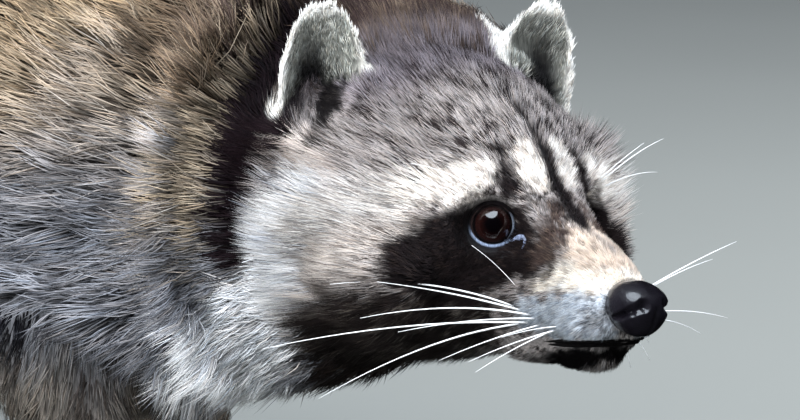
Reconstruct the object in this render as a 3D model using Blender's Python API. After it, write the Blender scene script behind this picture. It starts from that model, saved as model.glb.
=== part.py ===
"""A life-size raccoon that stands on all four feet, head low and turned to its right.

The body is lofted in overlapping lengths, fused into one smooth skin at the tips of
the coat, and then parted with thin cuts into head, jaw, ears, neck, trunk, tail,
legs and feet. Eyes, nose pad and claws are solids of their own.

Frame: metres, +X forward, +Y to the animal's left, +Z up, floor at Z = 0. The tables
are in millimetres. The head has a frame of its own: its origin lies midway between
the two corneas, +X along the muzzle, +Y to the left, +Z up.
"""

import math

import bmesh
import bpy
import numpy as np
from mathutils import Matrix, Vector

MM = 0.001

# Stance: where the head is held, and how it is turned.
EYES_AT = (284.0, -56.0, 176.0)
HEAD_YAW = -28.0
HEAD_PITCH = 0.0
HEAD_ROLL = -5.0

# Head sizes.
EYE_SPACING = 45.0
EYE_RADIUS = 8.6
EYE_OUTWARD = 38.0
EYE_UPWARD = 7.0
NOSE_AT = (50.0, 0.0, -21.0)
NOSE_SIZE = (8.0, 10.4, 8.8)
NOSE_SLOPE = 12.0
SOCKET_ANGLE = 46.0

# Fusing and cutting.
VOXEL = 2.1 * MM
SMOOTHING_STEPS = 5
BODY_TRIANGLES = 4450
WELD = 0.05 * MM
SOLE_SNAP = 0.25 * MM
CUT_GAP = 0.5
SOCKET_GAP = 0.4
RING_POINTS = 24
SHARP_ANGLE = 50.0

# Coat colours: name, colour, roughness.
FINISHES = {
    "grizzled_coat": ((0.34, 0.29, 0.24), 0.9),
    "face_coat": ((0.46, 0.44, 0.42), 0.9),
    "ear_coat": ((0.62, 0.61, 0.58), 0.9),
    "ringed_coat": ((0.30, 0.25, 0.20), 0.9),
    "foot_coat": ((0.20, 0.17, 0.15), 0.85),
    "eye": ((0.03, 0.012, 0.008), 0.05),
    "nose_leather": ((0.02, 0.02, 0.022), 0.35),
    "claw_horn": ((0.10, 0.085, 0.07), 0.35),
}

# Lofted lengths. Each row: centre x, y, z, half width, height above the centre, depth
# below it. Every size reaches to the tips of the coat.
TRUNK = (
    (-226, 0, 214, 34, 36, 38),
    (-200, 0, 208, 68, 70, 70),
    (-155, 0, 205, 88, 94, 92),
    (-95, 0, 204, 98, 108, 108),
    (-25, 0, 200, 100, 110, 110),
    (45, 0, 194, 96, 100, 112),
    (100, -1, 188, 90, 92, 108),
    (148, -4, 184, 82, 82, 100),
    (184, -12, 182, 68, 62, 84),
)
NECK = (
    (110, -2, 192, 84, 86, 98),
    (152, -2, 188, 86, 80, 98),
    (188, -2, 184, 91, 72, 92),
    (222, -22, 180, 70, 54, 74),
)
TAIL = (
    (-196, 0, 226, 24, 24, 24),
    (-228, 1, 221, 29, 29, 29),
    (-262, 3, 203, 33, 33, 33),
    (-300, 7, 174, 37, 37, 37),
    (-338, 12, 142, 39, 39, 39),
    (-378, 18, 112, 39, 39, 39),
    (-420, 25, 90, 35, 35, 34),
    (-456, 32, 80, 26, 26, 25),
    (-478, 37, 78, 12, 12, 12),
)
# Legs, from the trunk down to the wrist or the heel, for a leg at Y = +1 times spread.
FORELEG = (
    (96, 44, 176, 36, 40, 36),
    (90, 52, 146, 35, 37, 35),
    (90, 57, 116, 29, 30, 30),
    (98, 57, 88, 23, 23.5, 24),
    (106, 55, 60, 18.5, 18.5, 19),
    (110, 54, 38, 15.5, 15.5, 16),
    (114, 54, 20, 16, 15, 16),
)
HINDLEG = (
    (-140, 44, 196, 48, 66, 60),
    (-118, 56, 160, 45, 58, 52),
    (-104, 63, 126, 37, 43, 39),
    (-120, 66, 96, 28, 30, 28),
    (-148, 66, 68, 20.5, 21.5, 20.5),
    (-166, 65, 44, 16.5, 17, 17.5),
    (-172, 64, 24, 16, 18, 16),
)
# How far forward each foot is set, in the order of LEGS below.
LEGS = {
    "foreleg_right": (FORELEG, -1, 16.0),
    "foreleg_left": (FORELEG, 1, -14.0),
    "hindleg_right": (HINDLEG, -1, -12.0),
    "hindleg_left": (HINDLEG, 1, 14.0),
}

# Where a leg parts from the trunk: x, y, z of a point inside its top, the slope of the
# cut up towards the shoulder or hip, and the half length of the cut.
ARMPIT = (94, 22, 90, 40, 48)
GROIN = (-118, 18, 98, 46, 74)
LEG_INNER = -40
LEG_OUTER = 140
LEG_DEPTH = 170

# Feet: the palm or sole from its back end forward, in the foot's own frame with its
# origin on the floor under the wrist or heel.
FOREFOOT_SOLE = (
    (-9, 0, 13, 13, 13, 14.5),
    (6, 0, 12, 17, 12, 13.5),
    (22, 0, 10.5, 18.5, 9.5, 12),
    (34, 0, 9, 16, 7, 10.5),
)
HINDFOOT_SOLE = (
    (-12, 0, 15, 13, 14, 16.5),
    (12, 0, 13, 16, 13, 14.5),
    (38, 0, 11.5, 18, 11, 13),
    (62, 0, 10, 19, 9, 11.5),
    (74, 0, 9, 17, 7, 10.5),
)
# Toes: root x, root y, length, direction in degrees, thickness at the root.
FORE_TOES = (
    (10, -14, 22, -30, 5.6),
    (26, -11, 29, -13, 5.9),
    (30, 0, 32, 0, 6.0),
    (27, 10.5, 29, 12, 5.9),
    (18, 16, 23, 26, 5.6),
)
HIND_TOES = (
    (46, -17, 21, -24, 5.9),
    (64, -13, 27, -11, 6.2),
    (69, -2, 31, -1, 6.3),
    (66, 9, 29, 9, 6.2),
    (56, 17, 23, 20, 5.9),
)
# Along a toe: share of its length, height of its middle, thickness against the root's.
TOE_SHAPE = (
    (-0.30, 8.5, 1.15),
    (0.10, 8.0, 1.05),
    (0.45, 6.8, 0.92),
    (0.78, 5.2, 0.86),
    (1.00, 4.4, 0.62),
)
# Along a claw: distance from its root, height of its middle, half thickness.
CLAW_SHAPE = ((0, 6.4, 2.0), (4.5, 6.6, 1.8), (8.5, 5.2, 1.2), (11, 3, 0.35))
CLAW_SET_BACK = 2.5
CLAW_NARROWING = 0.72
CLAW_POINTS = 6
# A foot's box around its sole and toes, and the height at which its leg begins.
FOOT_LOW = (-40, -42, -30)
FOOT_FRONT = 120
WRIST_HEIGHT = 40
HOCK_HEIGHT = 44
# Each foot: its leg, sole, toes and how many degrees it is turned out.
FEET = {
    "forefoot_right": ("foreleg_right", FOREFOOT_SOLE, FORE_TOES, 10.5),
    "forefoot_left": ("foreleg_left", FOREFOOT_SOLE, FORE_TOES, 10.5),
    "hindfoot_right": ("hindleg_right", HINDFOOT_SOLE, HIND_TOES, 9.0),
    "hindfoot_left": ("hindleg_left", HINDFOOT_SOLE, HIND_TOES, 9.0),
}

# Head, in its own frame. Rows as above.
CRANIUM = (
    (9, 0, -8, 15, 22, 20),
    (0, 0, -8, 27, 33, 34),
    (-8, 0, -8, 38, 42, 39),
    (-18, 0, -8, 49, 50, 43),
    (-34, 0, -8, 59, 57, 49),
    (-54, 0, -8, 65, 62, 54),
    (-76, 0, -8, 67, 63, 60),
    (-98, 0, -8, 60, 58, 60),
)
MUZZLE = (
    (49, 0, -25, 8, 7, 9.5),
    (44, 0, -24, 12.5, 12, 14.5),
    (36, 0, -23, 16.2, 19, 18),
    (20, 0, -23, 19, 28.5, 23),
    (9, 0, -23, 21, 38, 26),
    (-4, 0, -23, 22, 46, 28),
)
# Ellipsoids that fill the head out: x, y, z, and the three half sizes.
WHISKER_PAD = (34, 8.5, -29, 14, 11, 10)
CHEEK = (-38, 38, -20, 32, 28, 29)
BROW = (-9, 22, 14, 10, 13, 9)
CHIN = (26, 0, -39, 19, 12.5, 9.5)

# Cuts through the head, in its own frame: a point on each cut, its lean in degrees and
# the two corners of the box beyond it.
THROAT = ((-76, 0, 0), -8, (0, -200, -100), (200, 200, 200))
MOUTH = ((46, 0, -33.5), -9, (-45, -40, -60), (30, 40, 0))
# Cuts through the body, the same way.
TAIL_ROOT = ((-234, 0, 222), 0, (-300, -90, -200), (0, 90, 90))
COLLAR = ((158, -6, 188), 8, (0, -200, -120), (200, 200, 200))
# The hollow over an eye: share of the ball's size along the gaze, width beyond the rim.
SOCKET_RIM = 0.55
SOCKET_WIDTH = 0.86
SOCKET_FLATNESS = 0.82
SOCKET_REACH = 30.0
SOCKET_FLOOR = 2.0

# Ear, from its base to its tip: share of the height, half width, depth of the cup.
EAR_BASE = (-62.0, 47.0, 24.0)
EAR_TIP = (-62.0, 52.5, 69.5)
EAR_WALL = 4.2
EAR_OPENS_OUTWARD = {-1: 22.0, 1: -14.0}
EAR_BOX = ((-20.0, -22.0, 15.0), (7.0, 22.0, 80.0))
EAR = (
    (-0.35, 15.5, 10.0),
    (0.0, 17.5, 11.5),
    (0.3, 18.0, 11.0),
    (0.55, 16.5, 9.0),
    (0.78, 12.8, 6.0),
    (0.92, 8.6, 3.4),
    (1.0, 4.8, 1.6),
)


def clear_scene():
    for obj in list(bpy.data.objects):
        bpy.data.objects.remove(obj)


def head_frame():
    """The head's own frame, turned and placed as the animal holds it."""
    turn = Matrix.Rotation(math.radians(HEAD_YAW), 4, "Z")
    pitch = Matrix.Rotation(math.radians(HEAD_PITCH), 4, "Y")
    roll = Matrix.Rotation(math.radians(HEAD_ROLL), 4, "X")
    return Matrix.Translation(Vector(EYES_AT) * MM) @ turn @ pitch @ roll


def mirrored(row, side):
    """A table row with its Y given to one side."""
    return (row[0], row[1] * side) + tuple(row[2:])


def smooth_rows(rows, per_span=3):
    """Rows between the given ones, on a Catmull-Rom curve through all columns."""
    table = np.array(rows, float)
    ends = np.vstack([2 * table[0] - table[1], table, 2 * table[-1] - table[-2]])
    found = []
    for i in range(1, len(ends) - 2):
        before, start, end, after = ends[i - 1 : i + 3]
        for t in np.arange(per_span) / per_span:
            found.append(
                0.5
                * (
                    2 * start
                    + (end - before) * t
                    + (2 * before - 5 * start + 4 * end - after) * t**2
                    + (3 * start - before - 3 * end + after) * t**3
                )
            )
    return np.array(found + [table[-1]])


def ring_frame(centre, direction, up=Vector((0, 0, 1))):
    """A frame at centre whose Z runs along the loft and whose X points to its side."""
    along = direction.normalized()
    if abs(along.dot(up)) > 0.95:
        up = Vector((1, 0, 0))
    side = up.cross(along).normalized()
    return Matrix.Translation(centre) @ Matrix(
        (side, along.cross(side), along)
    ).transposed().to_4x4()


def new_object(name, mesh_maker):
    """An object whose mesh is built by mesh_maker on an empty bmesh."""
    bm = bmesh.new()
    mesh_maker(bm)
    bmesh.ops.recalc_face_normals(bm, faces=bm.faces)
    mesh = bpy.data.meshes.new(name)
    bm.to_mesh(mesh)
    bm.free()
    obj = bpy.data.objects.new(name, mesh)
    bpy.context.scene.collection.objects.link(obj)
    return obj


def add_loft(
    bm, rows, frame=Matrix.Identity(4), up=Vector((0, 0, 1)), grow=0.0, detail=3, points=RING_POINTS
):
    """Adds a closed tube through rings of the rows' half widths and heights."""
    table = smooth_rows(rows, detail)
    centres = table[:, :3]
    directions = np.gradient(centres, axis=0)
    loops = []
    for centre, direction, (width, above, below) in zip(
        centres, directions, table[:, 3:]
    ):
        place = ring_frame(Vector(centre), Vector(direction), up)
        made = bmesh.ops.create_circle(bm, segments=points, radius=1.0)["verts"]
        for vert in made:
            height = above if vert.co.y > 0 else below
            flat = Vector(
                (vert.co.x * (width + grow), vert.co.y * (height + grow), 0)
            )
            vert.co = frame @ (place @ flat * MM)
        loops.append({edge for vert in made for edge in vert.link_edges})
    for first, second in zip(loops, loops[1:]):
        bmesh.ops.bridge_loops(bm, edges=list(first | second))
    for loop in (loops[0], loops[-1]):
        bmesh.ops.contextual_create(bm, geom=list(loop))


def add_ellipsoid(bm, row, frame=Matrix.Identity(4), grow=0.0, detail=2):
    """Adds a closed ellipsoid: centre and half sizes in the row."""
    x, y, z, *half = row
    size = Matrix.Diagonal([(h + grow) * MM for h in half] + [1.0])
    place = frame @ Matrix.Translation(Vector((x, y, z)) * MM) @ size
    bmesh.ops.create_icosphere(bm, subdivisions=detail, radius=1.0, matrix=place)


def ear_rows(side):
    """The ear's frame and its cup's sections, from the base to the tip."""
    base, tip = (Vector(mirrored(p, side)) for p in (EAR_BASE, EAR_TIP))
    height = (tip - base).length
    axis = (tip - base).normalized()
    faces = Matrix.Rotation(math.radians(EAR_OPENS_OUTWARD[side] * side), 3, "Z") @ Vector(
        (1, 0, 0)
    )
    faces = (faces - axis * faces.dot(axis)).normalized()
    across = axis.cross(faces)
    frame = Matrix.Translation(base * MM) @ Matrix(
        (faces, across, axis)
    ).transposed().to_4x4()
    return frame, [(share * height, width, cup) for share, width, cup in EAR]


def add_ear(bm, side, frame):
    """Adds a cupped ear with a wall of even thickness."""
    ear_frame, rows = ear_rows(side)
    half_arc = RING_POINTS // 2
    loops = []
    for height, width, cup in smooth_rows(rows):
        points = []
        for wall, order in ((0.0, range(half_arc)), (EAR_WALL, reversed(range(half_arc)))):
            for i in order:
                across = math.cos(math.pi * i / (half_arc - 1))
                sag = cup * math.sin(math.pi * i / (half_arc - 1))
                shrink = 1 - 0.5 * wall / width
                points.append((wall - sag - EAR_WALL / 2, across * width * shrink, height))
        verts = [bm.verts.new(frame @ ear_frame @ (Vector(p) * MM)) for p in points]
        loops.append(
            {bm.edges.new((verts[i - 1], verts[i])) for i in range(len(verts))}
        )
    for first, second in zip(loops, loops[1:]):
        bmesh.ops.bridge_loops(bm, edges=list(first | second))
    for loop in (loops[0], loops[-1]):
        bmesh.ops.contextual_create(bm, geom=list(loop))


def foot_frame(foot):
    """A foot's frame on the floor, under its wrist or heel and turned a little out."""
    leg, _, _, toe_out = FEET[foot]
    rows, side, step = LEGS[leg]
    x, y, _ = rows[-1][:3]
    place = Matrix.Translation(Vector((x + step, y * side, 0)) * MM)
    return place @ Matrix.Rotation(math.radians(toe_out * side), 4, "Z")


def leg_rows(leg):
    """A leg's rows, sheared so that its foot is set forward or back by its step."""
    rows, side, step = LEGS[leg]
    top, bottom = rows[0][2], rows[-1][2]
    shifted = []
    for row in rows:
        share = (top - row[2]) / (top - bottom)
        shifted.append((row[0] + step * share,) + mirrored(row, side)[1:])
    return shifted


def toe_rows(toe, side):
    """A toe's rows: it arches up to its knuckle and comes down to its tip."""
    x, y, length, direction, thick = toe
    angle = math.radians(direction * side)
    forward = Vector((math.cos(angle), math.sin(angle), 0))
    root = Vector((x, y * side, 0))
    return [
        (*(root + forward * length * share + Vector((0, 0, z))), *(thick * size,) * 3)
        for share, z, size in TOE_SHAPE
    ]


def claw_rows(toe, side):
    """A claw's rows: it leaves the toe's tip, and bows down to a point off the floor."""
    x, y, length, direction, _ = toe
    angle = math.radians(direction * side)
    forward = Vector((math.cos(angle), math.sin(angle), 0))
    root = Vector((x, y * side, 0)) + forward * (length - CLAW_SET_BACK)
    return [
        (*(root + forward * along + Vector((0, 0, z))), size * CLAW_NARROWING, size, size)
        for along, z, size in CLAW_SHAPE
    ]


def whole_body():
    """All the flesh as overlapping closed lofts, in one mesh."""
    head = head_frame()

    def build(bm):
        for rows in (TRUNK, NECK, TAIL):
            add_loft(bm, rows)
        for leg in LEGS:
            add_loft(bm, leg_rows(leg), up=Vector((1, 0, 0)))
        for foot, (leg, sole, toes, _) in FEET.items():
            side = LEGS[leg][1]
            frame = foot_frame(foot)
            add_loft(bm, sole, frame)
            for toe in toes:
                add_loft(bm, toe_rows(toe, side), frame)
        for rows in (CRANIUM, MUZZLE):
            add_loft(bm, rows, head)
        add_ellipsoid(bm, CHIN, head)
        for side in (-1, 1):
            for row in (WHISKER_PAD, CHEEK, BROW):
                add_ellipsoid(bm, mirrored(row, side), head)
            add_ear(bm, side, head)

    return new_object("whole_body", build)


def evaluated(obj):
    """The object's mesh with its modifiers applied, as a fresh object."""
    graph = bpy.context.evaluated_depsgraph_get()
    mesh = bpy.data.meshes.new_from_object(obj.evaluated_get(graph), depsgraph=graph)
    made = bpy.data.objects.new(obj.name, mesh)
    bpy.context.scene.collection.objects.link(made)
    return made


def replace(old, new):
    name = old.name
    bpy.data.objects.remove(old)
    new.name = name
    return new


def flatten_soles(obj, reach):
    """Sets everything lower than reach onto the floor."""
    for vert in obj.data.vertices:
        if vert.co.z < reach:
            vert.co.z = 0.0


def fused(obj):
    """Fuses the overlapping lofts into one smooth skin with few triangles."""
    remesh = obj.modifiers.new("fuse", "REMESH")
    remesh.mode = "VOXEL"
    remesh.voxel_size = VOXEL
    soften = obj.modifiers.new("soften", "SMOOTH")
    soften.factor = 0.5
    soften.iterations = SMOOTHING_STEPS
    obj = replace(obj, evaluated(obj))
    flatten_soles(obj, 0.0)
    thin = obj.modifiers.new("thin", "DECIMATE")
    thin.ratio = BODY_TRIANGLES / (2 * len(obj.data.polygons))
    obj = replace(obj, evaluated(obj))
    flatten_soles(obj, SOLE_SNAP)
    return obj


def largest_piece(obj):
    """Drops the crumbs that a cut can leave beside the main piece."""
    bm = bmesh.new()
    bm.from_mesh(obj.data)
    seen, islands = set(), []
    for start in bm.verts:
        if start in seen:
            continue
        island, edge_of = set(), [start]
        while edge_of:
            vert = edge_of.pop()
            if vert not in island:
                island.add(vert)
                edge_of += [e.other_vert(vert) for e in vert.link_edges]
        seen |= island
        islands.append(island)
    keep = max(islands, key=len)
    bmesh.ops.delete(bm, geom=[v for v in bm.verts if v not in keep], context="VERTS")
    bm.to_mesh(obj.data)
    bm.free()
    return obj


def boolean(obj, cutter, operation):
    """The result of a Boolean as a fresh object of clean triangles."""
    cut = obj.modifiers.new("cut", "BOOLEAN")
    cut.operation = operation
    cut.object = cutter
    cut.solver = "EXACT"
    made = evaluated(obj)
    obj.modifiers.remove(cut)
    bm = bmesh.new()
    bm.from_mesh(made.data)
    bmesh.ops.remove_doubles(bm, verts=bm.verts, dist=WELD)
    bmesh.ops.dissolve_degenerate(bm, edges=bm.edges, dist=WELD)
    bmesh.ops.triangulate(bm, faces=bm.faces)
    bm.to_mesh(made.data)
    bm.free()
    return made


def box_maker(frame, low, high):
    """A maker of a box in a frame, which can be grown by the width of a cut."""

    def build(bm, grow=0.0):
        size = [h - l + 2 * grow for l, h in zip(low, high)]
        centre = Vector([(l + h) / 2 for l, h in zip(low, high)])
        place = frame @ Matrix.Translation(centre * MM)
        scale = Matrix.Diagonal([s * MM for s in size] + [1.0])
        bmesh.ops.create_cube(bm, size=1.0, matrix=place @ scale)

    return build


def part_off(rest, name, build):
    """Parts the share of a region off the rest. Returns the piece and what is left."""
    region = new_object("region", build)
    grown = new_object("grown", lambda bm: build(bm, CUT_GAP))
    piece = largest_piece(boolean(rest, region, "INTERSECT"))
    rest = replace(rest, largest_piece(boolean(rest, grown, "DIFFERENCE")))
    for helper in (region, grown):
        bpy.data.objects.remove(helper)
    piece.name = name
    return piece, rest


def carve(obj, build):
    """Cuts a shape out of an object."""
    cutter = new_object("cutter", build)
    obj = replace(obj, largest_piece(boolean(obj, cutter, "DIFFERENCE")))
    bpy.data.objects.remove(cutter)
    return obj


def eye_frame(side):
    """The frame of an eyeball in the head's frame: X along its gaze."""
    gaze = Matrix.Rotation(math.radians(EYE_OUTWARD * side), 4, "Z") @ Matrix.Rotation(
        math.radians(-EYE_UPWARD), 4, "Y"
    )
    cornea = Vector((0, EYE_SPACING / 2 * side, 0))
    centre = cornea - gaze.to_3x3() @ Vector((EYE_RADIUS, 0, 0))
    return Matrix.Translation(centre * MM) @ gaze


def add_socket(bm, side, head):
    """Adds the cone that opens from an eye's rim to the tips of the coat."""
    radius = EYE_RADIUS + SOCKET_GAP
    rim = SOCKET_RIM * radius
    rows = []
    for along in (rim - SOCKET_FLOOR, rim, radius, SOCKET_REACH):
        flare = max(0.0, along - rim) * math.tan(math.radians(SOCKET_ANGLE))
        wide = SOCKET_WIDTH * radius + flare
        tall = wide * SOCKET_FLATNESS
        rows.append((along, 0, 0, wide, tall, tall))
    add_loft(bm, rows, head @ eye_frame(side))


def make_eyes(head):
    for name, side in (("eye_right", -1), ("eye_left", 1)):
        row = (0, 0, 0, EYE_RADIUS, EYE_RADIUS, EYE_RADIUS)
        new_object(name, lambda bm: add_ellipsoid(bm, row, head @ eye_frame(side)))


def nose_build(head, grow=0.0):
    slope = Matrix.Rotation(math.radians(NOSE_SLOPE), 4, "Y")
    frame = head @ Matrix.Translation(Vector(NOSE_AT) * MM) @ slope
    return lambda bm: add_ellipsoid(bm, (0, 0, 0, *NOSE_SIZE), frame, grow)


def leaning_box(cut, frame=Matrix.Identity(4)):
    """The box beyond one of the cuts that lean about the Y axis."""
    point, lean, low, high = cut
    place = Matrix.Translation(Vector(point) * MM)
    return box_maker(
        frame @ place @ Matrix.Rotation(math.radians(lean), 4, "Y"), low, high
    )


def cut_head(body):
    """Parts the head's pieces off the body, and sets the eyes and the nose in it."""
    head = head_frame()
    whole, body = part_off(body, "head", leaning_box(THROAT, head))
    for name, side in (("ear_right", -1), ("ear_left", 1)):
        ear_frame, _ = ear_rows(side)
        _, whole = part_off(whole, name, box_maker(head @ ear_frame, *EAR_BOX))
    _, whole = part_off(whole, "lower_jaw", leaning_box(MOUTH, head))
    ball = (0, 0, 0, *(EYE_RADIUS + SOCKET_GAP,) * 3)
    for side in (-1, 1):
        whole = carve(whole, lambda bm: add_socket(bm, side, head))
        whole = carve(whole, lambda bm: add_ellipsoid(bm, ball, head @ eye_frame(side)))
    carve(whole, nose_build(head, SOCKET_GAP))
    new_object("nose_pad", nose_build(head))
    make_eyes(head)
    return body


def cut_tail_and_neck(body):
    """Parts the tail off the rump, and the neck off the trunk."""
    _, body = part_off(body, "tail", leaning_box(TAIL_ROOT))
    _, body = part_off(body, "neck", leaning_box(COLLAR))
    return body


def cut_feet(body):
    """Parts the feet off the legs, and sets the claws in the toes."""
    for foot, (leg, _, toes, _) in FEET.items():
        rows, side, _ = LEGS[leg]
        frame = foot_frame(foot)
        height = WRIST_HEIGHT if rows is FORELEG else HOCK_HEIGHT
        high = (FOOT_FRONT, -FOOT_LOW[1], height)
        piece, body = part_off(body, foot, box_maker(frame, FOOT_LOW, high))

        def add_claw(bm, toe, grow=0.0):
            rows = claw_rows(toe, side)
            add_loft(bm, rows, frame, grow=grow, detail=1, points=CLAW_POINTS)

        def add_claws(bm):
            for toe in toes:
                add_claw(bm, toe, SOCKET_GAP)

        carve(piece, add_claws)
        for number, toe in enumerate(toes, 1):
            new_object(f"claw_{foot}_{number}", lambda bm: add_claw(bm, toe))
    return body


def cut_legs(body):
    """Parts the legs off the trunk along slopes through the armpits and the groin."""
    for leg, (rows, side, _) in LEGS.items():
        x, y, z, slope, reach = ARMPIT if rows is FORELEG else GROIN
        lean = Matrix.Rotation(math.radians(slope * side), 4, "X")
        place = Matrix.Translation(Vector((x, y * side, z)) * MM) @ lean
        sides = sorted((LEG_INNER * side, LEG_OUTER * side))
        low = (-reach, sides[0], -LEG_DEPTH)
        high = (reach, sides[1], 0)
        _, body = part_off(body, leg, box_maker(place, low, high))
    return body


def finish_of(name):
    """The finish that a node's name calls for."""
    for start, finish in (
        ("eye", "eye"),
        ("nose", "nose_leather"),
        ("claw", "claw_horn"),
        ("ear", "ear_coat"),
        ("head", "face_coat"),
        ("lower_jaw", "face_coat"),
        ("tail", "ringed_coat"),
        ("forefoot", "foot_coat"),
        ("hindfoot", "foot_coat"),
    ):
        if name.startswith(start):
            return finish
    return "grizzled_coat"


def dress():
    """Gives each node its material and smooth shading."""
    made = {}
    for name, (colour, roughness) in FINISHES.items():
        material = bpy.data.materials.new(name)
        material.use_nodes = True
        shader = material.node_tree.nodes["Principled BSDF"]
        shader.inputs["Base Color"].default_value = (*colour, 1)
        shader.inputs["Roughness"].default_value = roughness
        shader.inputs["Metallic"].default_value = 0.0
        made[name] = material
    for obj in bpy.data.objects:
        obj.data.materials.clear()
        obj.data.materials.append(made[finish_of(obj.name)])
        obj.data.shade_smooth()
        obj.data.set_sharp_from_angle(angle=math.radians(SHARP_ANGLE))


def centre_on_floor():
    """Moves the model so that its box stands centred on the origin."""
    corners = np.array(
        [vert.co[:] for obj in bpy.data.objects for vert in obj.data.vertices]
    )
    low, high = corners.min(axis=0), corners.max(axis=0)
    shift = Vector((-(low[0] + high[0]) / 2, -(low[1] + high[1]) / 2, 0))
    for obj in bpy.data.objects:
        obj.data.transform(Matrix.Translation(shift))


def main():
    clear_scene()
    body = fused(whole_body())
    body = cut_head(body)
    body = cut_tail_and_neck(body)
    body = cut_feet(body)
    body = cut_legs(body)
    body.name = "trunk"
    centre_on_floor()
    dress()


main()
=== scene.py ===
"""A raccoon standing on a pale floor, its masked face turned to its right, in skin and fur."""

import logging
import math
from dataclasses import dataclass
from enum import Enum
from typing import Callable

import bpy
import numpy as np
from mathutils import Matrix, Vector
from mathutils.bvhtree import BVHTree
from mathutils.kdtree import KDTree


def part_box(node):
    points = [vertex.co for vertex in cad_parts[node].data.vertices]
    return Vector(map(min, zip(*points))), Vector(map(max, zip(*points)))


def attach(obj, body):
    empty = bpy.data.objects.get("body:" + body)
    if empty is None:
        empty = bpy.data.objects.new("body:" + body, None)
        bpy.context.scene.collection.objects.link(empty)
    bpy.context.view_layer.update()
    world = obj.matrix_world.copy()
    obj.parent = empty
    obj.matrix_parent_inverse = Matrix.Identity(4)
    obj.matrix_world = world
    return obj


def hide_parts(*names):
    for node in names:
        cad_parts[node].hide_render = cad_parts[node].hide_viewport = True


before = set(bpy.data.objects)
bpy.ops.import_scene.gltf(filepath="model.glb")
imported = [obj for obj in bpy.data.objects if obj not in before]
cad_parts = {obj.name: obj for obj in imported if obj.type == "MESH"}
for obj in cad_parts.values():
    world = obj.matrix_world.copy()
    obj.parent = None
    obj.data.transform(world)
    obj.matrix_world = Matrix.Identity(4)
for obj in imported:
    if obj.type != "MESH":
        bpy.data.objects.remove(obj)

MM = 0.001
SEED = 7
log = logging.getLogger("raccoon")

Rows = np.ndarray
Piece = bpy.types.Object
Socket = bpy.types.NodeSocket

FLESH = (
    "head", "lower_jaw", "ear_right", "ear_left", "neck", "trunk", "tail",
    "foreleg_right", "foreleg_left", "hindleg_right", "hindleg_left",
    "forefoot_right", "forefoot_left", "hindfoot_right", "hindfoot_left",
)

# The face, in mm and degrees in the head's own frame.
BALL_RADIUS = 8.6
GAZE_OUT = 38.0
GAZE_UP = 7.0
NOSE_BELOW_EYES = 19.4
EYE_SPOT = (-7.0, 25.0, -1.0)
NOSE_SPOT = (50.0, 0.0, -21.0)
NOSE_TIP = (52.0, 0.0, -20.0)
HEAD_MIDDLE = (-40.0, 0.0, 0.0)
MOUTH_FRONT = (46.0, -33.5)
MOUTH_SLOPE = math.tan(math.radians(9.0))
CHEEK_BACK = (0.643, -0.766)
CHEEK_UP = (-0.146, -0.123, 0.98)

# The left ear in the same frame: heights are shares of its length, half widths are in mm.
EAR_BASE = (-62.0, 47.0, 24.0)
EAR_TIP = (-62.0, 52.5, 69.5)
EAR_HEIGHTS = (-0.35, 0.0, 0.3, 0.55, 0.78, 0.92, 1.0)
EAR_HALF_WIDTHS = (15.5, 17.5, 18.0, 16.5, 12.8, 8.6, 4.8)
EAR_DIP = (-61.0, 47.0, 34.0)
EAR_DIP_RADII = (15.0, 13.0, 19.0)

# The way the hair lies, and the tail's root and ring spacing in metres.
EAR_FLOW = (0.1, 0.25, 1.0)
BACK_FLOW = (-1.0, 0.0, -0.5)
TAIL_FLOW = (-0.875, 0.115, -0.46)
LEG_FLOW = (-0.3, 0.0, -1.0)
FOOT_FLOW = (1.0, 0.0, -0.5)
TAIL_START = (-0.16, 0.004, 0.207)
TAIL_RING = 0.052

# How far before the face a ray toward it starts, in mm, and the corners of a tube's section.
RAY_START = 30
TUBE_SIDES = 10


class Side(Enum):
    """The animal's own two sides, as the sign that y has there."""

    RIGHT = -1
    LEFT = 1

    @property
    def label(self) -> str:
        """Its name as the pieces carry it."""
        return self.name.lower()


EAR_OPENS_OUT = {Side.RIGHT: math.radians(22.0), Side.LEFT: math.radians(-14.0)}


def linear(red: float, green: float, blue: float) -> Rows:
    """Linear colour of a display colour given from 0 to 255."""
    shown = np.array((red, green, blue)) / 255
    return np.where(shown <= 0.04045, shown / 12.92, ((shown + 0.055) / 1.055) ** 2.4)


def ramp(low: float, high: float, value: Rows) -> Rows:
    """Smooth step from 0 at low to 1 at high, which may be below low."""
    share = np.clip((value - low) / (high - low), 0, 1)
    return share * share * (3 - 2 * share)


def unit(vectors: Rows) -> Rows:
    """Vectors at length one."""
    length = np.linalg.norm(vectors, axis=-1, keepdims=True)
    return vectors / np.maximum(length, 1e-9)


def mix(first: Rows, second: Rows, share: Rows) -> Rows:
    """Blend of two rows of colours or vectors by a share for each."""
    return first + (second - first) * np.asarray(share)[..., None]


def apart(local: Rows, centre: tuple, radii: tuple = (1.0, 1.0, 1.0)) -> Rows:
    """Distance from a spot that lies on both sides of the head.

    Args:
        local: places in the head's frame, in mm.
        centre: the spot on the left side, in mm.
        radii: lengths in mm that count as one along each axis.

    Returns:
        One distance for each place.
    """
    x, y, z = local[:, 0], np.abs(local[:, 1]), local[:, 2]
    ahead, out, up = (x - centre[0]) / radii[0], (y - centre[1]) / radii[1], (z - centre[2]) / radii[2]
    return np.sqrt(ahead ** 2 + out ** 2 + up ** 2)


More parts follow.
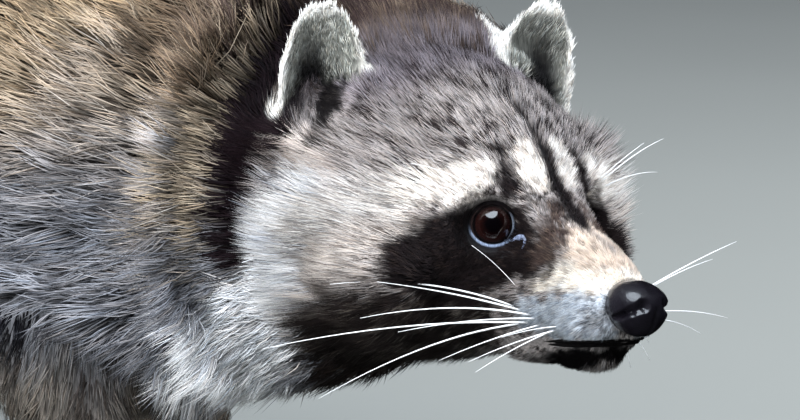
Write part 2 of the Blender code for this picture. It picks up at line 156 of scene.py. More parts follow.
def waves(points: Rows, size: float, seed: int, count: int = 12) -> Rows:
    """Soft pseudo-random field from -1 to 1.

    Args:
        points: places, one a row, in metres.
        size: length of a typical blotch, in metres.
        seed: picks the field.
        count: number of plane waves that are added.

    Returns:
        One value for each place.
    """
    rng = np.random.default_rng(seed)
    total = np.zeros(len(points))
    for _ in range(count):
        direction = rng.normal(size=3)
        direction *= rng.uniform(0.7, 1.5) / np.linalg.norm(direction)
        phase = rng.uniform(0, 2 * math.pi)
        total += np.sin(points @ direction * (2 * math.pi / size) + phase)
    return np.clip(total / math.sqrt(count), -1.6, 1.6) / 1.6


@dataclass(frozen=True)
class HeadFrame:
    """The head's own axes: x along the muzzle, y to its left, z up, in mm from between the eyes."""

    matrix: Matrix
    eyes: dict

    @classmethod
    def measured(cls) -> "HeadFrame":
        """The frame as the eyeballs and the nose pad give it.

        Returns:
            The head's frame.
        """
        middle = {n: sum(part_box(n), Vector()) / 2 for n in ("eye_right", "eye_left", "nose_pad")}
        between = (middle["eye_right"] + middle["eye_left"]) / 2
        left = (middle["eye_left"] - middle["eye_right"]).normalized()
        ahead = middle["nose_pad"] - between
        ahead = (ahead - left * ahead.dot(left)).normalized()
        forward = Matrix.Rotation(math.radians(-NOSE_BELOW_EYES), 3, left) @ ahead
        up = forward.cross(left)
        out, lift = math.radians(GAZE_OUT), math.radians(GAZE_UP)
        reach = BALL_RADIUS * MM
        origin = between + forward * (reach * math.cos(out) * math.cos(lift))
        origin += up * (reach * math.sin(lift))
        axes = Matrix((forward, left, up)).transposed().to_4x4()
        matrix = Matrix.Translation(origin) @ axes @ Matrix.Scale(MM, 4)
        return cls(matrix, {side: middle[f"eye_{side.label}"] for side in Side})

    def place(self, points: Rows) -> Rows:
        """Head places in mm, one a row, as world places in metres."""
        turn = np.array(self.matrix)
        return np.asarray(points, float) @ turn[:3, :3].T + turn[:3, 3]

    def measure(self, points: Rows) -> Rows:
        """World places in metres, one a row, as head places in mm."""
        back = np.array(self.matrix.inverted())
        return np.asarray(points, float) @ back[:3, :3].T + back[:3, 3]

    def turn(self, vectors: Rows) -> Rows:
        """Head directions, one a row, as world directions."""
        return np.asarray(vectors, float) @ (np.array(self.matrix)[:3, :3] / MM).T

    def untwist(self, vectors: Rows) -> Rows:
        """World directions, one a row, as head directions."""
        return np.asarray(vectors, float) @ (np.array(self.matrix)[:3, :3] / MM)


class Region(Enum):
    """Lengths of the body whose coats differ."""

    HEAD = "head"
    EARS = "ears"
    NECK = "neck"
    TRUNK = "trunk"
    TAIL = "tail"
    LEGS = "legs"
    FEET = "feet"


@dataclass(frozen=True)
class Pile:
    """How a coat stands: depth over the skin, length of a tuft and half its width, in mm."""

    depth: float
    length: float
    half_width: float

    def row(self) -> Rows:
        """Its three values in one row."""
        return np.array((self.depth, self.length, self.half_width))


PILES = {
    Region.HEAD: Pile(5.0, 12.0, 0.30),
    Region.EARS: Pile(0.7, 4.8, 0.18),
    Region.NECK: Pile(12.0, 28.0, 0.26),
    Region.TRUNK: Pile(12.5, 30.0, 0.32),
    Region.TAIL: Pile(12.0, 34.0, 0.5),
    Region.LEGS: Pile(4.5, 14.0, 0.42),
    Region.FEET: Pile(0.9, 5.0, 0.28),
}
MUZZLE_PILE = Pile(1.3, 4.5, 0.19)
CHEEK_PILE = Pile(5.0, 12.0, 0.22)
JOWL_PILE = Pile(10.0, 24.0, 0.24)
FRINGE_PILE = Pile(4.0, 21.0, 0.24)
BRIDGE_PILE = Pile(2.9, 2.2, 0.17)
EAR_DIP_PILE = Pile(11.0, 4.0, 0.2)
EAR_FOOT_PILE = Pile(0.8, 2.6, 0.17)
LID_PILE = Pile(0.9, 2.6, 0.17)
LIP_PILE = Pile(0.8, 2.2, 0.17)
NOSE_EDGE_PILE = Pile(0.6, 1.8, 0.16)
TAIL_TIP_PILE = Pile(8.0, 15.0, 0.34)
LIMB_END_PILE = Pile(0.9, 5.5, 0.27)
REGION_STARTS = (
    ("head", Region.HEAD), ("lower", Region.HEAD), ("ear", Region.EARS), ("neck", Region.NECK),
    ("trunk", Region.TRUNK), ("tail", Region.TAIL), ("foreleg", Region.LEGS),
    ("hindleg", Region.LEGS), ("forefoot", Region.FEET), ("hindfoot", Region.FEET),
)
ORDER = tuple(Region)


def part_of(weights: Rows, region: Region) -> Rows:
    """One region's share at each place."""
    return weights[:, ORDER.index(region)]


@dataclass(frozen=True)
class Lie:
    """The coat at a row of places: tuft sizes in mm and the way the tufts point."""

    depth: Rows
    length: Rows
    half_width: Rows
    flow: Rows
    stand: Rows


@dataclass(frozen=True)
class Grooming:
    """Gives the coat's depth, length and lie anywhere on the body.

    Each pair of fields is where a change of the coat starts and where it is complete: in mm in
    the head's frame, or in metres for the body, the tail and the limbs.
    """

    head: HeadFrame
    ear_foot: tuple = (38, 26)
    tail_tip: tuple = (0.235, 0.285)
    limb_end: tuple = (0.115, 0.05)
    cheek: tuple = (14, -42)
    jowl_back: tuple = (-14, -62)
    jowl_low: tuple = (34, 6)
    fringe_lift: tuple = (-12, 0)
    fringe_right: float = 0.3
    fringe_stand: tuple = (4.0, 0.4)
    fringe_start: tuple = (4, -8)
    fringe_end: tuple = (-52, -34)
    fringe_out: tuple = (22, 32)
    fringe_foot: tuple = (-26, -12)
    fringe_top: tuple = (26, 16)
    bridge_start: tuple = (2, 9)
    bridge_end: tuple = (34, 24)
    bridge_side: tuple = (13, 9)
    bridge_foot: tuple = (-11, -5)
    ear_dip: tuple = (0.6, 1.2)
    lid: tuple = (9, 24)
    lip: tuple = (1.5, 7)
    lip_end: tuple = (-2, -8)
    lip_off: float = 20
    nose_edge: tuple = (10, 19)
    muzzle_start: tuple = (0, 25)
    muzzle_low: tuple = (-8, -22)
    muzzle_droop: float = 0.35
    brow_start: tuple = (-40, -5)
    brow_up: tuple = (-14, 6)
    brow_spread: float = 0.45
    eye_swirl: tuple = (21, 9)
    eye_swirl_pull: float = 1.3
    back_up: tuple = (0.16, 0.26)
    back_lift: float = 0.35
    neck_turn: tuple = (0.2, -0.02)

    def sizes(self, points: Rows, weights: Rows) -> Rows:
        """Depth, length and half width of the coat.

        Args:
            points: places on the body, in metres.
            weights: share of each region at each place, in the order of ORDER.

        Returns:
            A row of three values in mm for each place.
        """
        table = np.array([PILES[region].row() for region in ORDER])
        sizes = weights @ table
        local = self.head.measure(points)
        own = self._head_sizes(local)
        share = part_of(weights, Region.HEAD)
        sizes += (own - table[0]) * share[:, None]
        ear = part_of(weights, Region.EARS) * ramp(*self.ear_foot, local[:, 2])
        sizes = mix(sizes, EAR_FOOT_PILE.row(), ear)
        along = (points - np.array(TAIL_START)) @ np.array(TAIL_FLOW)
        tip = ramp(*self.tail_tip, along) * part_of(weights, Region.TAIL)
        sizes = mix(sizes, TAIL_TIP_PILE.row(), tip)
        limb = part_of(weights, Region.LEGS) + part_of(weights, Region.FEET)
        foot = ramp(*self.limb_end, points[:, 2]) * limb
        return mix(sizes, LIMB_END_PILE.row(), foot)

    def _head_sizes(self, local: Rows) -> Rows:
        """The same for the head.

        Args:
            local: places in the head's frame, in mm.

        Returns:
            A row of three values in mm for each place.
        """
        x, y, z = local[:, 0], np.abs(local[:, 1]), local[:, 2]
        sizes = mix(MUZZLE_PILE.row(), CHEEK_PILE.row(), ramp(*self.cheek, x))
        jowl = ramp(*self.jowl_back, x) * ramp(*self.jowl_low, z)
        sizes = mix(sizes, JOWL_PILE.row(), jowl)
        loose = self._fringe(local)
        by_side = np.where(local[:, 1] > 0, 1, self.fringe_right)
        sizes = mix(sizes, FRINGE_PILE.row(), loose * ramp(*self.fringe_lift, z) * by_side)
        bridge = ramp(*self.bridge_start, x) * ramp(*self.bridge_end, x)
        bridge = bridge * ramp(*self.bridge_side, y) * ramp(*self.bridge_foot, z)
        sizes = mix(sizes, BRIDGE_PILE.row(), bridge)
        sizes = mix(EAR_DIP_PILE.row(), sizes, ramp(*self.ear_dip, apart(local, EAR_DIP, EAR_DIP_RADII)))
        sizes = mix(LID_PILE.row(), sizes, ramp(*self.lid, apart(local, EYE_SPOT)))
        lip = np.abs(z - mouth_height(x)) + ramp(*self.lip_end, x) * self.lip_off
        sizes = mix(LIP_PILE.row(), sizes, ramp(*self.lip, lip))
        return mix(NOSE_EDGE_PILE.row(), sizes, ramp(*self.nose_edge, apart(local, NOSE_SPOT)))

    def flow(self, points: Rows, weights: Rows) -> Rows:
        """The way tufts point before they are laid on the skin.

        Args:
            points: places on the body, in metres.
            weights: share of each region at each place, in the order of ORDER.

        Returns:
            One unit vector for each place.
        """
        local = self.head.measure(points)
        side = np.sign(local[:, 1])
        flip = np.stack([np.ones_like(side), side, np.ones_like(side)], axis=1)
        away = unit(local - np.array(NOSE_TIP))
        muzzle = ramp(*self.muzzle_start, local[:, 0])
        away[:, 2] -= self.muzzle_droop * muzzle * ramp(*self.muzzle_low, local[:, 2])
        brow = ramp(*self.brow_start, local[:, 0]) * ramp(*self.brow_up, local[:, 2])
        away[:, 1] += self.brow_spread * brow * side
        beside_eye = local - np.array(EYE_SPOT) * flip
        swirl = self.eye_swirl_pull * ramp(*self.eye_swirl, np.linalg.norm(beside_eye, axis=1))
        away += unit(beside_eye) * swirl[:, None]
        back = np.array(BACK_FLOW) + np.outer(ramp(*self.back_up, points[:, 2]), (0, 0, self.back_lift))
        reach = ramp(*self.neck_turn, points[:, 0])
        body = mix(unit(self.head.turn(away)), unit(back), reach)
        ways = {
            Region.HEAD: self.head.turn(away),
            Region.EARS: self.head.turn(np.array(EAR_FLOW) * flip),
            Region.NECK: body,
            Region.TRUNK: body,
            Region.TAIL: np.array(TAIL_FLOW),
            Region.LEGS: np.array(LEG_FLOW),
            Region.FEET: np.array(FOOT_FLOW),
        }
        total = np.zeros_like(points)
        for column, region in enumerate(ORDER):
            total += unit(ways[region]) * weights[:, column, None]
        return unit(total)

    def lie(self, points: Rows, normals: Rows, weights: Rows) -> Lie:
        """The coat's sizes and its lie along the skin.

        Args:
            points: places on the body, in metres.
            normals: the skin's outward direction at each.
            weights: share of each region at each place, in the order of ORDER.

        Returns:
            The coat at those places.
        """
        flow = self.flow(points, weights)
        flow = unit(flow - normals * (flow * normals).sum(axis=1, keepdims=True))
        depth, length, half_width = self.sizes(points, weights).T
        local = self.head.measure(points)
        stand = 1 + np.where(local[:, 1] > 0, *self.fringe_stand) * self._fringe(local)
        return Lie(depth, length, half_width, flow, stand)

    def _fringe(self, local: Rows) -> Rows:
        """Share of the loose fringe beside the brows.

        Args:
            local: places in the head's frame, in mm.

        Returns:
            A share from 0 to 1 for each place.
        """
        x, y, z = local[:, 0], np.abs(local[:, 1]), local[:, 2]
        along = ramp(*self.fringe_start, x) * ramp(*self.fringe_end, x)
        return along * ramp(*self.fringe_out, y) * ramp(*self.fringe_foot, z) * ramp(*self.fringe_top, z)


def mouth_height(x: Rows) -> Rows:
    """Height of the mouth's line at a distance forward, both in mm in the head's frame."""
    return MOUTH_FRONT[1] + (x - MOUTH_FRONT[0]) * MOUTH_SLOPE


@dataclass(frozen=True)
class Shade:
    """Colours of a tuft, from 0 to 255: root, tip, and a second tip that some tufts have; the dark roots
    are dark underfur and partly painted shade between the tufts.
    """

    root: tuple
    tip: tuple
    other_tip: tuple
    odds: float = 0.0

    def row(self) -> Rows:
        """Its ten linear values in one row."""
        colours = [linear(*self.root), linear(*self.tip), linear(*self.other_tip)]
        return np.concatenate([*colours, [self.odds]])


@dataclass(frozen=True)
class Stroke:
    """A marking on both sides of the head, drawn as a line of changing width.

    Each point gives how far it lies back along the cheek, its height and its half width, in mm.
    """

    points: tuple
    soft: float
    shade: Shade

    def cover(self, back: Rows, height: Rows, ragged: Rows) -> Rows:
        """Share from 0 to 1 of this marking at each place.

        Args:
            back: mm along the cheek.
            height: mm up it.
            ragged: how much the edge wavers, from -1 to 1.

        Returns:
            One share for each place.
        """
        nearest = np.full(len(back), 1e3)
        spots = np.stack([back, height], axis=1)
        for (x0, y0, r0), (x1, y1, r1) in zip(self.points, self.points[1:]):
            start, along = np.array((x0, y0)), np.array((x1 - x0, y1 - y0))
            share = np.clip((spots - start) @ along / (along @ along), 0, 1)
            gap = np.linalg.norm(spots - start - share[:, None] * along, axis=1)
            nearest = np.minimum(nearest, gap - (r0 + (r1 - r0) * share))
        return ramp(self.soft, -self.soft, nearest + ragged * self.soft)


BLACK = Shade((10, 8, 9), (26, 21, 22), (46, 38, 36), 0.12)
STROKES = (
    Stroke(((-134, 78, 13), (-132, 46, 10)), 9.0,
           Shade((18, 14, 12), (128, 110, 92), (40, 32, 28), 0.55)),
    Stroke(((-107, 70, 5), (-115, 50, 6), (-124, 28, 10), (-128, 6, 11), (-130, -12, 6)), 9.0,
           Shade((27, 22, 20), (178, 163, 143), (76, 66, 60), 0.4)),
    Stroke(((-49, -5.5, 7), (-66, -12, 9), (-84, -24, 9), (-97, -37, 10)), 5.0,
           Shade((92, 86, 84), (206, 198, 192), (120, 112, 108), 0.25)),
    Stroke(((-76, 10, 4), (-83, 4, 7), (-91, -8, 11), (-100, -27, 15.5), (-108, -44, 18),
            (-117, -66, 19)), 3.5,
           Shade((134, 135, 142), (247, 249, 253), (204, 209, 219), 0.24)),
    Stroke(((-96, 66, 11), (-98, 48, 13), (-101, 34, 13), (-104, 19, 13), (-108, 4, 12),
            (-111, -10, 7.5), (-111, -18, 3)), 3.0,
           Shade((10, 7, 9), (26, 18, 22), (52, 42, 42), 0.05)),
    Stroke(((-90, 23, 3.0), (-83, 18, 4.2), (-75, 15, 5.0)), 2.5,
           Shade((96, 88, 86), (222, 212, 206), (168, 156, 150), 0.3)),
    Stroke(((-22, -37, 11), (-38.6, -39, 15.2), (-54, -41, 15), (-72, -38, 11.5)), 4.0,
           Shade((12, 10, 10), (36, 31, 30), (98, 92, 86), 0.12)),
    Stroke(((6, -60, 5), (-14.5, -60, 7), (-38.6, -65, 7), (-66, -66, 8)), 4.0,
           Shade((60, 56, 48), (146, 138, 118), (110, 100, 86), 0.3)),
    Stroke(((-30, -51.7, 5.5), (-50.7, -51.7, 6.2), (-72, -53, 8)), 3.0,
           Shade((12, 9, 9), (32, 26, 24), (80, 68, 58), 0.1)),
    Stroke(((1.0, -21.5, 3.6), (5.0, -19, 5.0), (10.3, -19.3, 6.6), (20, -21, 7.0), (31, -19, 7.5)), 2.5,
           Shade((188, 180, 170), (228, 222, 213), (214, 204, 192), 0.3)),
    Stroke(((9.7, -4.5, 3.8), (13.8, -10.3, 6.0), (19.3, -14.0, 4.6), (27, -13.5, 3.5)), 2.5,
           Shade((160, 144, 132), (204, 188, 174), (212, 199, 186), 0.35)),
    Stroke(((-2.5, -32, 4.6), (6.2, -33, 7.8), (18.3, -32.5, 8.2)), 2.5,
           Shade((128, 136, 146), (196, 204, 214), (140, 148, 160), 0.25)),
    Stroke(((16.6, -35.5, 3.4), (22.4, -32.1, 3.4)), 3.0,
           Shade((40, 42, 46), (150, 154, 160), (70, 72, 78), 0.4)),
    Stroke(((2.1, -13.8, 3.1), (-3.4, -13.8, 7.6), (-16.6, -9.4, 15.6), (-31.7, -15.5, 15.6),
            (-44.8, -18.5, 11.5)), 2.4, BLACK),
    Stroke(((3.0, 3.0, 3.6), (3.6, -4.0, 4.4), (0.5, -12.0, 4.0)), 3.0,
           Shade((24, 20, 20), (72, 60, 56), (118, 102, 92), 0.2)),
    Stroke(((-44, 7.5, 5.0), (-52.4, 5, 6.6), (-66, 1, 6.8), (-80, -3.4, 9)), 4.0,
           Shade((150, 146, 142), (216, 213, 211), (150, 146, 145), 0.3)),
    Stroke(((-18.3, 15.3, 3.8), (-25.5, 12.5, 6.2), (-38.6, 9, 7.0), (-47, 7, 6.0)), 2.8,
           Shade((170, 162, 156), (238, 233, 227), (184, 176, 170), 0.3)),
    Stroke(((-9.0, 23.0, 3.3), (-5.8, 17.8, 5.2), (-2.6, 12.6, 3.6)), 1.8,
           Shade((176, 168, 160), (240, 235, 230), (204, 194, 186), 0.3)),
    Stroke(((-17.5, 24.0, 1.2), (-15.6, 17.0, 2.7), (-12.6, 9.5, 4.2)), 1.6, BLACK),
    # Painted shade of the ear's hollow, laid on the skin where the ear's cup meets the head.
    Stroke(((-78.6, 23.0, 2.4), (-78.4, 33.0, 4.8), (-75.0, 42.0, 5.2)), 2.0,
           Shade((10, 9, 10), (26, 24, 25), (60, 56, 54), 0.08)),
    # Black lips, and painted shadow on the chin just below them.
    Stroke(((38, -42.4, 4.1), (22.1, -44.6, 3.4), (9.7, -48.3, 4.6), (2.1, -49.7, 3.1)), 1.8,
           Shade((6, 5, 6), (16, 14, 16), (40, 38, 40), 0.06)),
)
CROWN = Shade((34, 30, 31), (184, 177, 175), (44, 38, 38), 0.42)
NAPE = Shade((22, 17, 18), (66, 54, 52), (128, 112, 98), 0.24)
CROWN_TOP = Shade((24, 20, 23), (146, 139, 146), (46, 38, 42), 0.42)
BACK = Shade((22, 17, 15), (196, 174, 145), (42, 33, 29), 0.46)
FLANK = Shade((15, 15, 19), (152, 154, 162), (40, 41, 48), 0.47)
BELLY = Shade((56, 54, 54), (142, 138, 134), (92, 88, 86), 0.35)
LIMB = Shade((58, 52, 47), (146, 135, 122), (88, 80, 73), 0.35)
PAW = Shade((50, 44, 41), (124, 113, 103), (76, 68, 62), 0.3)
TAIL_PALE = Shade((80, 66, 52), (178, 156, 128), (120, 100, 80), 0.25)
EAR_BACK = Shade((40, 36, 36), (120, 112, 106), (180, 174, 166), 0.25)
# Near black painted as the shade deep in an ear's cup.
EAR_HOLLOW_SHADE = Shade((14, 13, 14), (30, 29, 30), (60, 58, 56), 0.1)
EAR_INSIDE = Shade((74, 75, 72), (158, 160, 153), (212, 212, 204), 0.35)
EAR_RIM = Shade((200, 198, 192), (246, 244, 240), (232, 230, 224), 0.3)


@dataclass(frozen=True)
class EarPlace:
    """Places measured on the nearer ear: share of its height and half width, and mm in front."""

    high: Rows
    wide: Rows
    ahead: Rows
    front: Rows

    @classmethod
    def of(cls, local: Rows, facing: Rows) -> "EarPlace":
        """Measures places, and how far each facing points out of the ear's cup.

        Args:
            local: places in the head's frame, in mm.
            facing: outward direction at each, in the head's frame.

        Returns:
            The measured places.
        """
        side = np.where(local[:, 1] < 0, -1.0, 1.0)
        flip = np.stack([np.ones_like(side), side, np.ones_like(side)], axis=1)
        base, tip = np.array(EAR_BASE), np.array(EAR_TIP)
        tall = np.linalg.norm(tip - base)
        axis = (tip - base) / tall
        opens = np.where(side < 0, EAR_OPENS_OUT[Side.RIGHT], EAR_OPENS_OUT[Side.LEFT])
        front = np.stack([np.cos(opens), np.sin(opens), np.zeros_like(opens)], axis=1)
        front = unit(front - np.outer(front @ axis, axis))
        offset = local * flip - base
        high = offset @ axis / tall
        across = (offset * np.cross(axis, front)).sum(axis=1)
        wide = across / np.interp(high, EAR_HEIGHTS, EAR_HALF_WIDTHS)
        return cls(high, wide, (offset * front).sum(axis=1), (facing * flip * front).sum(axis=1))


@dataclass(frozen=True)
class Markings:
    """Colours of skin and coat anywhere on the body.

    Each pair of fields is where a marking starts and where it is complete: in mm in the head's
    frame, in metres for the body, and in shares of its size for an ear.
    """

    head: HeadFrame
    leg_start: tuple = (0.13, 0.07)
    paw_start: tuple = (0.05, 0.03)
    head_reach: tuple = (160, 125)
    ear_share: tuple = (0.5, 0.8)
    ear_behind: tuple = (-19, -13)
    blotch: float = 0.035
    blotch_lift: float = 0.02
    back_up: tuple = (0.155, 0.25)
    belly_down: tuple = (0.118, 0.095)
    fleck: float = 0.028
    fleck_odds: float = 0.3
    ring_blotch: float = 0.03
    ring_waver: float = 0.25
    ring_edge: tuple = (-0.1, 0.35)
    tail_tip: tuple = (0.255, 0.275)
    ragged: float = 0.007
    finely_ragged: float = 0.003
    crown_end: tuple = (-92, -72)
    crown_back: tuple = (-28, -52)
    crown_up: tuple = (24, 44)
    nape_start: tuple = (-62, -84)
    nape_end: tuple = (-150, -105)
    nape_up: tuple = (30, 44)
    stripe_places: tuple = (-30, -14, 5, 16, 24)
    stripe_half_widths: tuple = (0.4, 1.8, 3.0, 3.4, 1.6)
    stripe_edge: tuple = (1.6, -1.0)
    stripe_start: tuple = (27, 20)
    stripe_end: tuple = (-34, -20)
    stripe_up: tuple = (-8, 2)
    ear_inside: tuple = (-0.15, 0.25)
    rim_side: tuple = (0.74, 0.9)
    rim_top: tuple = (0.86, 0.95)
    rim_outer_foot: tuple = (-0.15, 0.05)
    rim_inner_foot: tuple = (0.3, 0.55)
    hollow_heights: tuple = (-0.1, 0.3, 0.9)
    hollow_half_widths: tuple = (0.5, 0.42, 0.2)
    hollow_off: float = 0.22
    hollow_edge: tuple = (0.2, -0.2)
    hollow_top: tuple = (0.95, 0.45)

    def shades(self, points: Rows, normals: Rows, weights: Rows) -> Rows:
        """Ten linear values a place, in the order of Shade.row.

        Args:
            points: places on the body, in metres.
            normals: the skin's outward direction at each.
            weights: share of each region at each place, in the order of ORDER.

        Returns:
            One row for each place.
        """
        share = {region: weights[:, column] for column, region in enumerate(ORDER)}
        found = self._body(points)
        found = mix(found, LIMB.row(), share[Region.LEGS] * ramp(*self.leg_start, points[:, 2]))
        found = mix(found, PAW.row(), ramp(*self.paw_start, points[:, 2]))
        found = mix(found, self._tail(points), share[Region.TAIL])
        local = self.head.measure(points)
        near = ramp(*self.head_reach, np.linalg.norm(local - np.array(HEAD_MIDDLE), axis=1))
        found = mix(found, self._head(points, local, found), near)
        ear = EarPlace.of(local, self.head.untwist(normals))
        on_ear = ramp(*self.ear_share, share[Region.EARS]) * ramp(*self.ear_behind, ear.ahead)
        return mix(found, self._ears(ear), on_ear)

    def _body(self, points: Rows) -> Rows:
        """Neck, trunk and the upper legs.

        Args:
            points: places on the body, in metres.

        Returns:
            Rows as shades gives them.
        """
        height = points[:, 2] + self.blotch_lift * waves(points, self.blotch, 3)
        found = mix(FLANK.row(), BACK.row(), ramp(*self.back_up, height))
        found = mix(found, BELLY.row(), ramp(*self.belly_down, height))
        found[:, 9] = np.clip(found[:, 9] + self.fleck_odds * waves(points, self.fleck, 4), 0, 1)
        return found

    def _tail(self, points: Rows) -> Rows:
        """Dark rings and a dark tip.

        Args:
            points: places on the body, in metres.

        Returns:
            Rows as shades gives them.
        """
        along = (points - np.array(TAIL_START)) @ np.array(TAIL_FLOW)
        waver = self.ring_waver * waves(points, self.ring_blotch, 9)
        ring = np.sin(along / TAIL_RING * 2 * math.pi + waver)
        dark = np.maximum(ramp(*self.ring_edge, ring), ramp(*self.tail_tip, along))
        return mix(TAIL_PALE.row(), BLACK.row(), dark)

    def _head(self, points: Rows, local: Rows, under: Rows) -> Rows:
        """Crown, mask, brows, muzzle and ruff over the body's own colours.

        Args:
            points: places on the body, in metres.
            local: the same places in the head's frame, in mm.
            under: the body's rows at those places.

        Returns:
            Rows as shades gives them.
        """
        x, y, z = local[:, 0], np.abs(local[:, 1]), local[:, 2]
        back = CHEEK_BACK[0] * x + CHEEK_BACK[1] * y
        height = CHEEK_UP[0] * x + CHEEK_UP[1] * y + CHEEK_UP[2] * z
        ragged = waves(points, self.ragged, 5) + 0.5 * waves(points, self.finely_ragged, 6)
        ends = ramp(*self.crown_end, x)
        found = mix(under, CROWN.row(), ends)
        found = mix(found, CROWN_TOP.row(), ramp(*self.crown_back, x) * ramp(*self.crown_up, z) * ends)
        nape = ramp(*self.nape_start, x) * ramp(*self.nape_end, x) * ramp(*self.nape_up, z)
        found = mix(found, NAPE.row(), nape)
        for stroke in STROKES:
            found = mix(found, stroke.shade.row(), stroke.cover(back, height, ragged))
        width = np.interp(x, self.stripe_places, self.stripe_half_widths)
        line = ramp(*self.stripe_edge, y - width + ragged)
        line = line * ramp(*self.stripe_end, x) * ramp(*self.stripe_start, x)
        return mix(found, BLACK.row(), line * ramp(*self.stripe_up, z))

    def _ears(self, ear: EarPlace) -> Rows:
        """White rims round a grey inside, a near black hollow of painted shade low in the cup, and grey
        backs.

        Args:
            ear: places measured on the nearer ear.

        Returns:
            Rows as shades gives them.
        """
        inside = ramp(*self.ear_inside, ear.front)
        rim = np.maximum(ramp(*self.rim_side, np.abs(ear.wide)), ramp(*self.rim_top, ear.high))
        wedge = np.interp(ear.high, self.hollow_heights, self.hollow_half_widths)
        # Painted shade: the lower middle of the cup is darkened where it lies deepest.
        hollow = ramp(*self.hollow_edge, np.abs(ear.wide - self.hollow_off) - wedge)
        hollow = ramp(*self.hollow_top, ear.high) * hollow
        found = mix(EAR_BACK.row(), EAR_INSIDE.row(), inside)
        found = mix(found, EAR_HOLLOW_SHADE.row(), hollow * inside)
        feet = ramp(*self.rim_outer_foot, ear.high), ramp(*self.rim_inner_foot, ear.high)
        return mix(found, EAR_RIM.row(), rim * np.where(ear.wide > 0, *feet))


def deselect() -> None:
    """Leaves nothing selected or active."""
    for piece in bpy.context.selected_objects:
        piece.select_set(False)
    bpy.context.view_layer.objects.active = None


def activate(piece: Piece) -> Piece:
    """Makes one object the only selected one and the active one.

    Args:
        piece: the object.

    Returns:
        The same object.
    """
    deselect()
    piece.select_set(True)
    bpy.context.view_layer.objects.active = piece
    return piece


def settle(piece: Piece) -> Piece:
    """Applies an object's modifiers in their order.

    Args:
        piece: the object.

    Returns:
        The same object.
    """
    activate(piece)
    for modifier in list(piece.modifiers):
        bpy.ops.object.modifier_apply(modifier=modifier.name)
    return piece


def joined(pieces: list, name: str) -> Piece:
    """One object of several, under a new name.

    Args:
        pieces: the objects.
        name: its name.

    Returns:
        The joined object.
    """
    deselect()
    for piece in pieces:
        piece.select_set(True)
    bpy.context.view_layer.objects.active = pieces[0]
    if len(pieces) > 1:
        bpy.ops.object.join()
    piece = bpy.context.view_layer.objects.active
    piece.name = name
    piece.data.name = name
    return piece


def copied(node: str) -> Piece:
    """A loose copy of a CAD node with its own mesh.

    Args:
        node: the node's name.

    Returns:
        The copy.
    """
    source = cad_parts[node]
    piece = bpy.data.objects.new(node + "_copy", source.data.copy())
    piece.data.materials.clear()
    bpy.context.scene.collection.objects.link(piece)
    return piece


def weld(piece: Piece, gap: float = 0.00002) -> Piece:
    """Merges a copy's loose triangles and turns its faces outward.

    Args:
        piece: the object.
        gap: how far apart merged points may be, in metres.

    Returns:
        The same object.
    """
    activate(piece)
    bpy.ops.object.mode_set(mode="EDIT")
    bpy.ops.mesh.select_all(action="SELECT")
    bpy.ops.mesh.remove_doubles(threshold=gap)
    bpy.ops.mesh.normals_make_consistent(inside=False)
    bpy.ops.object.mode_set(mode="OBJECT")
    return piece


def mesh_object(name: str, points: Rows, faces: Rows) -> Piece:
    """An object from rows of points in metres and rows of corner numbers.

    Args:
        name: its name.
        points: its points.
        faces: its faces.

    Returns:
        The object.
    """
    mesh = bpy.data.meshes.new(name)
    sides = faces.shape[1]
    mesh.vertices.add(len(points))
    mesh.vertices.foreach_set("co", np.asarray(points, np.float32).ravel())
    mesh.loops.add(faces.size)
    mesh.loops.foreach_set("vertex_index", np.asarray(faces, np.int32).ravel())
    mesh.polygons.add(len(faces))
    mesh.polygons.foreach_set("loop_start", np.arange(len(faces), dtype=np.int32) * sides)
    mesh.update(calc_edges=True)
    mesh.shade_smooth()
    piece = bpy.data.objects.new(name, mesh)
    bpy.context.scene.collection.objects.link(piece)
    return piece


def paint(piece: Piece, colours: Rows) -> None:
    """Writes one linear colour for each vertex.

    Args:
        piece: the object.
        colours: a row for each vertex.
    """
    rows = np.concatenate([colours, np.ones((len(colours), 1))], axis=1)
    layer = piece.data.attributes.new("tint", "FLOAT_COLOR", "POINT")
    layer.data.foreach_set("color", rows.astype(np.float32).ravel())


def note(piece: Piece, name: str, values: Rows) -> None:
    """Writes one number for each vertex.

    Args:
        piece: the object.
        name: what the numbers are called.
        values: the numbers.
    """
    layer = piece.data.attributes.new(name, "FLOAT", "POINT")
    layer.data.foreach_set("value", np.asarray(values, np.float32))


def read_vectors(collection: object, name: str, size: int = 3) -> Rows:
    """A collection's vectors as rows.

    Args:
        collection: what holds them.
        name: the property's name.
        size: numbers in a row.

    Returns:
        One row for each member.
    """
    values = np.empty(len(collection) * size, np.float32)
    collection.foreach_get(name, values)
    return values.reshape(-1, size).astype(float)


def read_ints(collection: object, name: str, size: int) -> Rows:
    """A collection's whole numbers as rows.

    Args:
        collection: what holds them.
        name: the property's name.
        size: numbers in a row.

    Returns:
        One row for each member.
    """
    values = np.empty(len(collection) * size, np.int32)
    collection.foreach_get(name, values)
    return values.reshape(-1, size)


